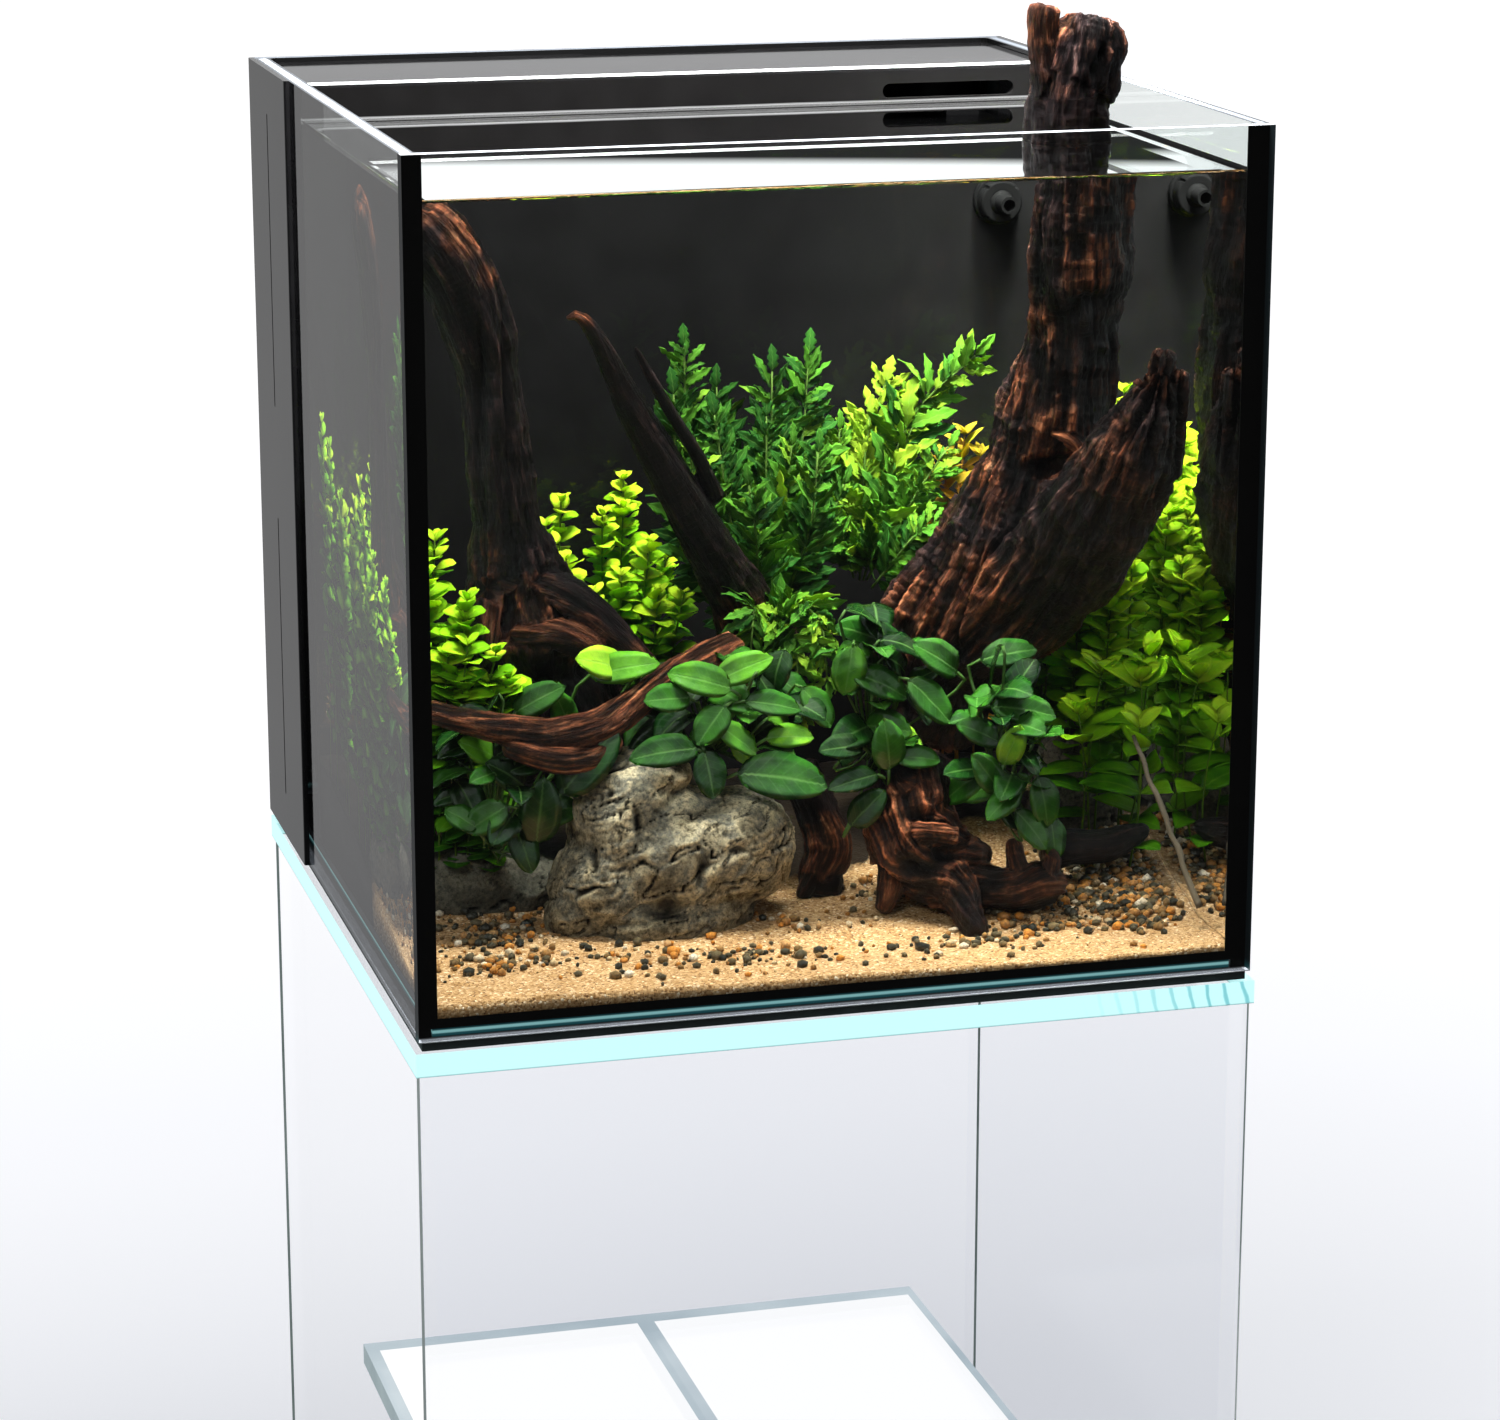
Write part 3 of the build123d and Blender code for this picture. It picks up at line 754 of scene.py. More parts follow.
def ball(at, radii, level=4):
    """Ellipsoid at a place, in tank millimetres."""
    made = bmesh.new()
    bmesh.ops.create_icosphere(made, subdivisions=level, radius=1.0)
    verts = np.array([v.co[:] for v in made.verts])
    faces = [[v.index for v in f.verts] for f in made.faces]
    made.free()
    return spot(verts * np.asarray(radii, float) + at), faces


# ---------------------------------------------------------------- sand and gravel
def sand_material():
    """Fine quartz sand: every grain its own tint. Towards the back it turns near black, painted shade for the
    shadow behind the stones and wood.
    """
    paint = Paint("sand_grains")
    grain = paint.add("TexVoronoi", {"Vector": paint.place(), "Scale": 850.0}, "Color")
    colour = paint.add("SeparateColor", {0: grain}).ramp(
        (0.0, (0.12, 0.047, 0.013)), (0.1, (0.28, 0.14, 0.047)), (0.35, (0.41, 0.235, 0.10)),
        (0.7, (0.53, 0.33, 0.155)), (0.93, (0.67, 0.46, 0.26)), (1.0, (0.93, 0.78, 0.57)))
    base = colour.tinted(paint.noise(30.0, 3.0).ramp((0.3, (0.86, 0.84, 0.82)), (0.7, 1.0)))
    # painted shade: from a line a little further back on the right, the sand turns near black
    back = paint.at(1) + paint.noise(45.0, 4.0) * 0.05
    painted_shade_share = (back - paint.at(0).spread(0.05, 0.12, -0.038, 0.012)).spread(0.0, 0.012)
    painted_shade_colour = paint.mix_colour(paint.noise(300.0, 3.0), (0.003, 0.002, 0.0015), (0.012, 0.008, 0.005))
    base = paint.mix_colour(painted_shade_share, base, painted_shade_colour)
    return paint.finish(paint.principled(base, 0.65,
                                         normal=(1.0 - grain.beside("Distance")).bump(0.6, 0.0006)))


def gravel_material():
    """River gravel: dark green-grey stones among brown, orange and cream ones."""
    paint = Paint("river_gravel")
    colour = paint.attribute("tone").channel(0).ramp(
        (0.0, (0.016, 0.016, 0.012)), (0.22, (0.055, 0.05, 0.032)), (0.4, (0.12, 0.09, 0.045)),
        (0.54, (0.22, 0.125, 0.045)), (0.68, (0.38, 0.165, 0.04)), (0.83, (0.6, 0.24, 0.04)),
        (0.92, (0.55, 0.42, 0.24)), (1.0, (0.8, 0.72, 0.6)))
    fleck = paint.noise(700.0, 3.0, 0.6).ramp((0.35, 0.55), (0.65, (1.25, 1.22, 1.15)))
    pits = paint.noise(500.0, 3.0).bump(0.3, 0.0004)
    return paint.finish(paint.principled(colour.tinted(fleck), 0.42, normal=pits))


def sand():
    """Sloping sand bed with a grainy surface, as one closed solid."""
    step = 1.6
    x0, x1, y0, y1 = LEFT_X / MM + 0.4, RIGHT_X / MM - 0.4, FRONT_Y / MM + 0.4, WALL_Y / MM - 0.4
    gx, gy = np.meshgrid(np.linspace(x0, x1, int((x1 - x0) / step)),
                         np.linspace(y0, y1, int((y1 - y0) / step)))
    height = sand_height(gx, gy) + 0.35 * noise(np.stack([gx, gy, gx * 0], -1) / 1.1, 14)
    top = spot(np.stack([gx, gy, height], -1).reshape(-1, 3))
    verts, faces = closed_slab(top, gx.shape, FLOOR_Z + 0.1 * MM)
    add_piece("sand_bed_grains", verts, faces, sand_material(), ("sand_bed",))


def gravel():
    """Loose stones lying on the sand in drifts."""
    rng = np.random.default_rng(5)
    pebble, faces = ball((0, 0, 0), (1, 1, 1), 1)
    pebble = (pebble - (0, 0, BASE_Z)) / MM
    faces = np.array(faces)
    drifts = [(-165, -105, 30, 30, 230), (-190, -60, 14, 24, 60), (-165, -150, 26, 12, 90),
              (-40, -166, 34, 13, 90), (-95, -148, 22, 10, 34), (52, -78, 18, 14, 60), (-5, -120, 26, 14, 34),
              (125, -145, 30, 14, 120), (188, -70, 26, 34, 620), (188, -128, 24, 26, 420),
              (152, -112, 24, 16, 170), (90, -172, 40, 12, 60), (10, -190, 110, 12, 30),
              (-120, -185, 60, 12, 16)]
    verts, skin, tones, count = [], [], [], 0
    for cx, cy, wide, deep, number in drifts:
        for _ in range(number):
            x, y = cx + rng.normal() * wide * 0.75, cy + rng.normal() * deep * 0.75
            size = rng.choice([0.8, 1.3, 1.8, 2.5, 3.2],
                              p=[0.14, 0.26, 0.3, 0.2, 0.1]) * rng.uniform(0.85, 1.15)
            if abs(x) > 211 or y < -210 or y > 60:
                continue
            shape = pebble * (1 + 0.22 * noise(pebble * 1.3 + rng.uniform(0, 90, 3), 3)[:, None])
            shape = shape * (size * rng.uniform(0.8, 1.35), size * rng.uniform(0.7, 1.1),
                             size * rng.uniform(0.7, 0.95))
            turn = rng.uniform(0, 2 * np.pi)
            c, s = math.cos(turn), math.sin(turn)
            shape = shape @ np.array([[c, s, 0], [-s, c, 0], [0, 0, 1]])
            z = float(sand_height(np.array([x]), np.array([y]))[0]) + size * 0.5
            verts.append(spot(shape + (x, y, z)))
            skin.append(faces + count)
            tones.append(np.full((len(pebble), 3), rng.uniform()))
            count += len(pebble)
    add_piece("gravel_drifts", np.vstack(verts), np.vstack(skin), gravel_material(),
              attributes={"tone": np.vstack(tones)})


# ---------------------------------------------------------------- rocks
def rock_material(name, dark, mid, light, stain):
    """Weathered stone: mottled, with painted shade in its cracks and hollows and towards its foot, pale on
    its edges.
    """
    paint = Paint(name)
    fine = paint.noise(520.0, 6.0, 0.75)
    base = paint.noise(55.0, 6.0, 0.7).ramp((0.34, mid), (0.46, light), (0.56, stain), (0.68, light))
    base = base.tinted(fine.ramp((0.34, (0.3, 0.29, 0.27)), (0.47, (0.9, 0.9, 0.88)),
                                 (0.68, (1.35, 1.3, 1.2))))
    # painted shade: low places in the relief turn towards the dark colour
    depth = paint.attribute("relief").channel(0).spread(-0.6, -0.06, 1.0, 0.0)
    base = paint.mix_colour(depth, base, dark)
    # painted shade in the mesh's hollows; sharp edges lighter
    base = base.tinted(paint.creases((0.42, (0.25, 0.22, 0.2)), (0.495, 0.95), (0.57, (1.6, 1.5, 1.35))))
    # painted shade: darker towards the foot, below 100 mm down to 25 mm
    base = base.tinted(paint.at(2).spread(BASE_Z + 25 * MM, BASE_Z + 100 * MM, 0.42, 1.1).grey())
    height = fine + paint.noise(170.0, 5.0) * 1.8
    return paint.finish(paint.principled(base, 0.8, specular=0.2, normal=height.bump(0.85, 0.0016)))


def weather(points, normals, strata, seed, slots=()):
    """Layered, cracked, pitted stone surface. Strata points across the layers, slots are hollows."""
    p = (points - (0, 0, BASE_Z)) / MM
    layers = np.asarray(strata, float)
    layers /= np.linalg.norm(layers)
    warp = 4.0 * np.stack([noise(p / 13, seed + 61), noise(p / 13, seed + 62), noise(p / 13, seed + 63)], -1)
    w = p + warp
    squeezed = w + np.outer(w @ layers, layers) * 2.6
    lift = 3.2 * fbm(p / 34, 2, seed) + 2.0 * (ridges(squeezed / 40, 2, seed + 5) - 0.5)
    crack = smooth(1 - np.abs(noise(squeezed / 27, seed + 31)), 0.95, 1.0)
    crack += 0.6 * smooth(1 - np.abs(noise(w / 19, seed + 35)), 0.965,
                          1.0) * smooth(noise(p / 26, seed + 37), -0.1, 0.5)
    lift -= 2.2 * crack
    rough = smooth(noise(p / 22, seed + 43), -0.2, 0.5)
    lift += (0.35 + 0.9 * rough) * (0.9 * fbm(squeezed / 9, 3,
                                              seed + 9) - 0.8 * smooth(noise(p / 5, seed + 21), 0.4, 0.8))
    lift -= 0.9 * smooth(1 - np.abs(noise(w / 9, seed + 41)), 0.94, 1.0) * rough
    # relief: height below the broad shape, which the stone material darkens as painted shade
    relief = np.clip((lift - 3.2 * fbm(p / 34, 2, seed)) / 3.4, -1, 1)
    for x, y, z, a, b, c, depth in slots:
        near = np.linalg.norm((w - (x, y, z)) / (a, b, c), axis=1)
        dip = depth * np.exp(-near ** 2 * 2.2)
        lift -= dip
        relief -= dip / 9.0
    relief = np.stack([relief, crack, np.zeros(len(p))], 1)
    return points + normals * (lift * MM)[:, None], relief


def rocks():
    """Layered boulder at the front, two smaller dark stones."""
    tan = rock_material("layered_stone", (0.012, 0.010, 0.008), (0.15, 0.125, 0.08), (0.64, 0.56, 0.39),
                        (0.24, 0.235, 0.20))
    cell = 1.15
    lumps = [((-92, -92, 74), (33, 33, 45)), ((-38, -96, 60), (38, 34, 36)), ((-104, -98, 46), (32, 29, 32)),
             ((-66, -98, 56), (44, 35, 42)), ((-122, -104, 32), (17, 18, 19)),
             ((-70, -104, 28), (48, 30, 20)), ((-80, -92, 104), (24, 24, 12))]
    points, normals, faces = melt([ball(at, radii) for at, radii in lumps], cell)
    hollows = [(-78, -138, 38, 18, 16, 18, 8), (-52, -128, 88, 17, 14, 4.5, 7), (-38, -134, 66, 11, 12, 4, 6),
               (-58, -136, 62, 5, 12, 13, 6), (-24, -132, 42, 15, 12, 3, 4), (-114, -126, 70, 3, 12, 20, 5),
               (-72, -128, 104, 13, 12, 3, 4), (-104, -134, 30, 16, 12, 4, 5), (-92, -128, 84, 4, 12, 16, 4)]
    points, relief = weather(points, normals, (-0.35, -0.15, 0.9), 31, hollows)
    add_piece("boulder_stone", points, faces, tan, ("boulder",), attributes={"relief": relief})
    dark = rock_material("dark_stone", (0.015, 0.015, 0.013), (0.11, 0.112, 0.095), (0.26, 0.255, 0.21),
                         (0.17, 0.162, 0.13))
    lumps = [((-168, -50, 40), (44, 28, 27)), ((-140, -52, 36), (26, 26, 20)),
             ((184, 2, 60), (27, 24, 40)), ((180, -8, 44), (30, 22, 24))]
    points, normals, faces = melt([ball(at, radii) for at, radii in lumps], cell * 1.5)
    points, relief = weather(points, normals, (0.2, -0.2, 0.9), 47)
    add_piece("dark_stones", in_tank(points), faces, dark, ("rocks_small",),
              attributes={"relief": relief})


# ---------------------------------------------------------------- driftwood
def wood_material():
    """Sunken bogwood: near-black fibres with red-brown patches, glossy where it leaves the water, with
    painted shade in its grooves and hollows.
    """
    paint = Paint("bogwood")
    grain, marks = paint.attribute("grain"), paint.attribute("marks")
    warmth, hollow = marks.channel(0), marks.channel(1)
    fibre = paint.noise(5.0, 7.0, 0.68, grain)
    broad = paint.noise(34.0, 4.0, 0.6)
    level = (paint.at(2) - WATER_Z) * 1000.0
    cold = fibre.ramp((0.36, (0.0014, 0.001, 0.0012)), (0.5, (0.005, 0.003, 0.0034)),
                      (0.61, (0.022, 0.013, 0.0125)), (0.76, (0.09, 0.052, 0.048)))
    warm = fibre.ramp((0.36, (0.012, 0.004, 0.003)), (0.47, (0.075, 0.024, 0.012)),
                      (0.58, (0.25, 0.092, 0.042)), (0.76, (0.66, 0.36, 0.19)))
    base = paint.mix_colour((warmth + (broad - 0.5) * 0.9).spread(0.25, 0.75), cold, warm)
    # painted shade: grooves and hollows in the relief turn dark
    base = base.tinted(hollow.spread(-0.5, 0.15, 0.06, 1.0).grey())
    # painted shade in the mesh's hollows; sharp ridges lighter
    base = base.tinted(paint.creases((0.42, (0.2, 0.17, 0.17)), (0.495, 0.85), (0.57, (2.6, 2.2, 2.0))))
    damp = level.spread(-1.0, 2.0) * (level + broad * 20.0).spread(24.0, 46.0, 1.0, 0.0)
    base = paint.mix_colour(damp * 0.7, base, (0.006, 0.004, 0.0045))
    relief = fibre + paint.noise(16.0, 5.0, 0.65, grain) * 0.6
    return paint.finish(paint.principled(base, damp.spread(0.0, 1.0, 0.5, 0.07), specular=0.42,
                                         normal=relief.bump(1.0, 0.003)))


def limb(stations, seed):
    """Lumpy tube through (x, y, height, radius) stations, thinner at its ends."""
    around, ends = 18, 0.55
    path, run = spline(stations, max(14, int(len(stations) * 7)))
    radius = path[:, 3] * (1 + 0.07 * noise(np.stack([run / 26, run * 0, run * 0 + seed], -1), seed))
    radius[0] *= ends
    radius[-1] *= ends
    return tube(spot(path), radius * MM, around)


def grain_of(points, limbs, twist):
    """For each point: coordinates that run along its nearest limb, the way out and the limb's radius."""
    p = (points - (0, 0, BASE_Z)) / MM
    best = np.full(len(p), 1e9)
    grain, out, size = np.zeros((len(p), 3)), np.zeros((len(p), 3)), np.ones(len(p))
    for number, stations in enumerate(limbs):
        path, run = spline(stations, 90)
        _, side, other = frames(path[:, :3])
        for start in range(0, len(p), 20000):
            part = slice(start, start + 20000)
            away = p[part][:, None, :] - path[None, :, :3]
            nearest = np.argmin((away ** 2).sum(-1) / path[None, :, 3] ** 2, axis=1)
            gap = away[np.arange(len(nearest)), nearest]
            ratio = np.linalg.norm(gap, axis=1) / path[nearest, 3]
            angle = np.arctan2((gap * other[nearest]).sum(1), (gap * side[nearest]).sum(1))
            angle = angle + run[nearest] * twist
            round_it = 0.055 * np.sqrt(path[nearest, 3] * 22)
            found = np.stack([np.cos(angle) * round_it, np.sin(angle) * round_it,
                              run[nearest] * 0.013 + number * 9], 1)
            better = ratio < best[part]
            best[part] = np.where(better, ratio, best[part])
            grain[part] = np.where(better[:, None], found, grain[part])
            out[part] = np.where(better[:, None], gap, out[part])
            size[part] = np.where(better, path[nearest, 3], size[part])
    return grain, out / (np.linalg.norm(out, axis=1)[:, None] + 1e-9), size


def driftwood(name, replaces, limbs, cell, seed, hollows=(), groove=1.0, knots=1.0, twist=0.004, warm=(),
              warmth=0.1,
              splinter=()):
    """One piece of bogwood: limbs grown together, grooved along the grain. Hollows, warm patches and
    splintered places are (x, y, height, ...) in tank millimetres."""
    cell = cell * 1.0
    points, normals, faces = melt([limb(stations, seed + k) for k, stations in enumerate(limbs)], cell)
    grain, out, size = grain_of(points, limbs, twist)
    p = (points - (0, 0, BASE_Z)) / MM
    reach = np.minimum(size, 34.0)
    furrow = ridges(grain * (1.6, 1.6, 1.0), 3, seed) - 0.62
    fine = ridges(grain * (5.5, 5.5, 1.6), 2, seed + 7) - 0.6
    lump = fbm(p / 24, 3, seed + 13)
    gnarl = ridges(p / (9 + reach * 0.25)[:, None], 2, seed + 17) - 0.6
    lift = reach * (0.05 + groove * 0.17 * furrow + groove * 0.05 * fine
                    + knots * (0.10 * lump + 0.07 * gnarl))
    # relief: groove and hollow depth, which the wood material darkens as painted shade
    relief = 1.1 * furrow + 0.7 * fine + knots * 0.45 * gnarl
    for x, y, z, a, b, c, depth in hollows:
        dip = np.exp(-np.linalg.norm((p - (x, y, z)) / (a, b, c), axis=1) ** 2 * 1.8)
        lift -= depth * dip
        relief -= 0.9 * dip * min(1.0, depth / 8)
    for x, y, z, radius, depth in splinter:
        near = smooth(-np.linalg.norm(p - (x, y, z), axis=1), -radius, -radius * 0.3)
        slit = smooth(noise(grain * (5.0, 5.0, 0.6), seed + 3), -0.15, 0.25)
        lift -= depth * near * slit
        relief -= 0.5 * near * slit
    glow = np.full(len(p), warmth)
    for x, y, z, radius, strength in warm:
        glow = np.maximum(glow, strength * np.exp(-(np.linalg.norm(p - (x, y, z), axis=1) / radius) ** 2))
    points = points + (normals * 0.8 + out * 0.2) * (lift * MM)[:, None]
    low = points[:, 2] < RIM_Z + 4 * MM
    points = np.where(low[:, None], in_tank(points), points)
    marks = np.stack([glow, np.clip(relief, -1, 1), np.zeros(len(p))], 1)
    if "wood" not in SHARED:
        SHARED["wood"] = wood_material()
    add_piece(name, points, faces, SHARED["wood"], replaces,
              attributes={"grain": grain, "marks": marks})


def bogwood():
    """The six driftwood pieces and the leaning twig."""
    trunk = [(88, 6, 96, 34), (104, 2, 140, 40), (124, -14, 178, 42), (140, -22, 212, 40),
             (153, -30, 250, 33), (161, -38, 286, 29), (166, -46, 330, 26), (166, -56, 366, 27),
             (167, -62, 400, 26), (169, -64, 424, 24), (170, -65, 440, 23), (173, -66, 456, 20),
             (177, -65, 466, 15)]
    knob = [(163, -65, 430, 15), (159, -66, 452, 11), (156, -66, 472, 9), (155, -66, 488, 9),
            (157, -65, 497, 8.5)]
    lobe = [(173, -65, 448, 20), (177, -64, 463, 23), (181, -64, 479, 22), (184, -63, 490, 14)]
    brow = [(134, -46, 262, 4), (147, -57, 272, 5), (160, -63, 269, 5), (170, -65, 258, 4)]
    arm = [(112, -12, 152, 30), (138, -40, 178, 33), (158, -66, 206, 33), (172, -92, 236, 31),
           (182, -114, 264, 27), (188, -128, 288, 20), (190, -134, 302, 14)]
    spikes = [[(188, -126, 284, 12), (191, -134, 306, 9), (193, -138, 325, 6)],
              [(196, -128, 278, 11), (200, -136, 298, 8.5), (202, -138, 314, 6)],
              [(178, -122, 276, 10), (181, -130, 294, 7.5), (182, -134, 309, 5)],
              [(167, -112, 258, 9), (168, -120, 274, 6.5), (169, -124, 288, 4)],
              [(199, -122, 256, 9), (202, -128, 276, 7.5), (203, -131, 294, 5)]]
    driftwood("trunk_right_wood", ("driftwood_right",), [trunk, arm, knob, lobe, brow, *spikes], 1.3, 3,
              hollows=[(146, -62, 253, 14, 24, 6, 14), (159, -66, 256, 8, 18, 4, 7),
                       (166, -78, 344, 12, 14, 7, 9), (158, -76, 338, 6, 12, 5, 6),
                       (167, -84, 484, 4, 18, 12, 6), (172, -86, 456, 3, 12, 7, 5),
                       (177, -86, 464, 3, 12, 7, 5), (183, -86, 472, 3, 12, 7, 5),
                       (189, -86, 480, 3, 12, 7, 5), (184, -86, 448, 3, 12, 7, 5),
                       (190, -86, 456, 3, 12, 7, 5), (196, -86, 464, 3, 12, 7, 5),
                       (150, -58, 186, 24, 14, 6, 9), (166, -84, 226, 3, 14, 34, 8),
                       (180, -124, 252, 3, 12, 30, 7), (192, -130, 262, 3, 12, 26, 6),
                       (118, -36, 196, 22, 14, 4, 7), (156, -84, 418, 3, 12, 18, 5)],
              splinter=[(192, -132, 298, 44, 8), (174, -100, 256, 26, 4), (186, -66, 470, 34, 3)],
              twist=0.005, groove=1.45, knots=1.1, warmth=0.25,
              warm=[(168, -80, 364, 20, 1.1), (182, -76, 374, 14, 0.9), (150, -66, 268, 20, 1.2),
                    (168, -70, 262, 16, 1.0), (150, -60, 226, 20, 0.7), (124, -44, 180, 36, 0.85),
                    (92, -24, 168, 28, 0.9), (156, -66, 492, 14, 1.7), (206, -62, 458, 10, 0.6),
                    (176, -124, 266, 20, 0.7), (194, -134, 306, 16, 0.6), (144, -60, 330, 14, 0.8),
                    (132, -50, 296, 18, 0.8), (112, -40, 250, 18, 0.7), (170, -80, 408, 26, 0.55),
                    (188, -76, 396, 10, 0.8), (192, -70, 492, 8, 0.6)])
    left = [(-196, -30, 402, 12), (-183, -30, 390, 17), (-168, -30, 366, 18), (-156, -30, 330, 16.5),
            (-149, -29, 280, 17), (-145, -28, 240, 18), (-140, -26, 207, 23), (-134, -26, 178, 32),
            (-126, -25, 146, 40), (-114, -22, 104, 42)]
    skirt = [(-142, -34, 200, 17), (-116, -42, 192, 13), (-94, -47, 176, 10), (-70, -52, 152, 7)]
    root = [(-160, -44, 196, 12), (-168, -52, 172, 13), (-176, -56, 150, 12)]
    fold = [(-138, -46, 176, 14), (-118, -52, 174, 11), (-98, -56, 164, 8)]
    driftwood("trunk_left_wood", ("driftwood_left",), [left, skirt, root, fold], 1.4, 21,
              hollows=[(-128, -62, 152, 26, 16, 12, 13), (-104, -62, 158, 12, 16, 7, 8),
                       (-160, -48, 300, 4, 10, 60, 5), (-146, -46, 320, 3, 10, 60, 4)], twist=0.002,
              knots=0.9, groove=1.3, warmth=-0.25,
              warm=[(-188, -38, 408, 16, 1.0), (-170, -40, 388, 13, 0.9), (-158, -40, 366, 9, 0.7),
                    (-140, -56, 190, 26, 0.7), (-108, -58, 174, 18, 0.7), (-160, -40, 210, 20, 0.7),
                    (-80, -54, 164, 12, 0.6)])
    branch = [(-116, -60, 346, 2.2), (-109, -60, 347, 3.2), (-99, -58, 334, 5.0), (-85, -52, 306, 7.5),
              (-57, -40, 256, 10.5), (-29, -25, 208, 13.5), (-9, -10, 172, 18), (10, 4, 120, 22)]
    finger = [(-79, -56, 329, 1.4), (-70, -54, 312, 2.6), (-57, -48, 290, 3.4), (-42, -40, 266, 4.2),
              (-30, -30, 240, 5.5)]
    driftwood("branch_wood", ("driftwood_branch",), [branch, finger], 1.0, 35, groove=1.3, knots=0.8,
              warmth=-0.3, warm=[(-110, -60, 349, 8, 0.9), (-16, -22, 172, 22, 0.7), (2, -10, 150, 20, 0.7)])
    root = [(-207, -104, 152, 5.5), (-182, -106, 144, 7), (-158, -106, 137, 8.5), (-134, -104, 132, 9.5),
            (-108, -100, 134, 10), (-85, -92, 145, 9), (-62, -82, 156, 9.5), (-24, -62, 164, 11)]
    low = [(-160, -108, 130, 6), (-134, -110, 120, 7.5), (-112, -106, 119, 7), (-98, -100, 128, 6)]
    driftwood("front_root_wood", ("driftwood_front_root",), [root, low], 1.0, 44, groove=1.1, knots=0.8,
              twist=0.012, warmth=0.8, warm=[(-80, -94, 142, 34, 1.05)])
    chunk = [(76, -90, 106, 14), (66, -98, 84, 20), (62, -108, 64, 22), (72, -116, 46, 18),
             (84, -130, 36, 12), (88, -146, 22, 9), (91, -156, 15, 6)]
    foot = [(60, -108, 56, 15), (52, -112, 42, 9), (47, -116, 30, 6), (44, -118, 24, 4)]
    elbow = [(74, -114, 46, 15), (98, -124, 37, 11.5), (116, -128, 33, 10.5), (132, -128, 34, 12.5),
             (142, -126, 31, 9)]
    nub = [(120, -128, 36, 6), (118, -124, 50, 5), (117, -122, 60, 3.5)]
    burr = [(134, -132, 38, 7), (138, -130, 48, 5), (136, -128, 54, 3)]
    ledge = [(48, -106, 66, 8), (66, -124, 68, 9), (84, -122, 62, 8)]
    body = [(58, -100, 92, 15), (68, -106, 66, 21), (84, -112, 50, 17), (102, -116, 42, 13)]
    driftwood("chunk_wood", ("driftwood_chunk",), [chunk, body, foot, elbow, nub, burr, ledge], 0.95, 58,
              hollows=[(76, -138, 56, 12, 14, 5, 8), (58, -130, 50, 12, 10, 5, 7),
                       (104, -140, 42, 10, 8, 4, 4), (84, -128, 82, 5, 10, 14, 6),
                       (66, -128, 78, 14, 10, 3, 6), (94, -146, 30, 4, 10, 8, 4)], groove=1.5, knots=2.2,
              twist=0.02, warmth=0.35,
              warm=[(62, -124, 72, 26, 1.1), (84, -134, 46, 18, 0.9), (50, -118, 52, 14, 0.9),
                    (120, -134, 40, 16, 0.6)])
    stump = [(10, -58, 98, 11), (19, -64, 72, 11.5), (24, -70, 50, 13), (16, -76, 34, 10), (30, -78, 30, 8)]
    toe = [(22, -72, 48, 9), (12, -80, 34, 6), (6, -84, 27, 4)]
    log = [(140, -94, 44, 9), (156, -92, 46, 11), (176, -90, 45, 10), (192, -90, 49, 7), (203, -90, 53, 3.5)]
    driftwood("offcuts_wood", ("driftwood_offcuts",), [stump, toe, log], 1.05, 63, groove=1.3, knots=1.4,
              warmth=0.1, warm=[(20, -84, 56, 26, 0.75)])
    twig, _ = spline([(186, -118, 112, 1.2), (191, -134, 90, 1.4), (199, -152, 64, 1.6),
                      (209, -178, 26, 1.9)], 40)
    wobble = noise(np.stack([twig[:, 2] / 9, twig[:, 2] * 0, twig[:, 2] * 0], -1), 4)
    twig[:, 0] += 0.8 * wobble
    verts, faces = tube(spot(twig), twig[:, 3] * MM * (1 + 0.12 * wobble), 10)
    add_piece("twig_wood", verts, faces,
              plain("grey_twig", (0.11, 0.09, 0.062), 0.7, grain=0.8, grain_scale=500.0, mottle=0.4),
              ("leaning_twig",))


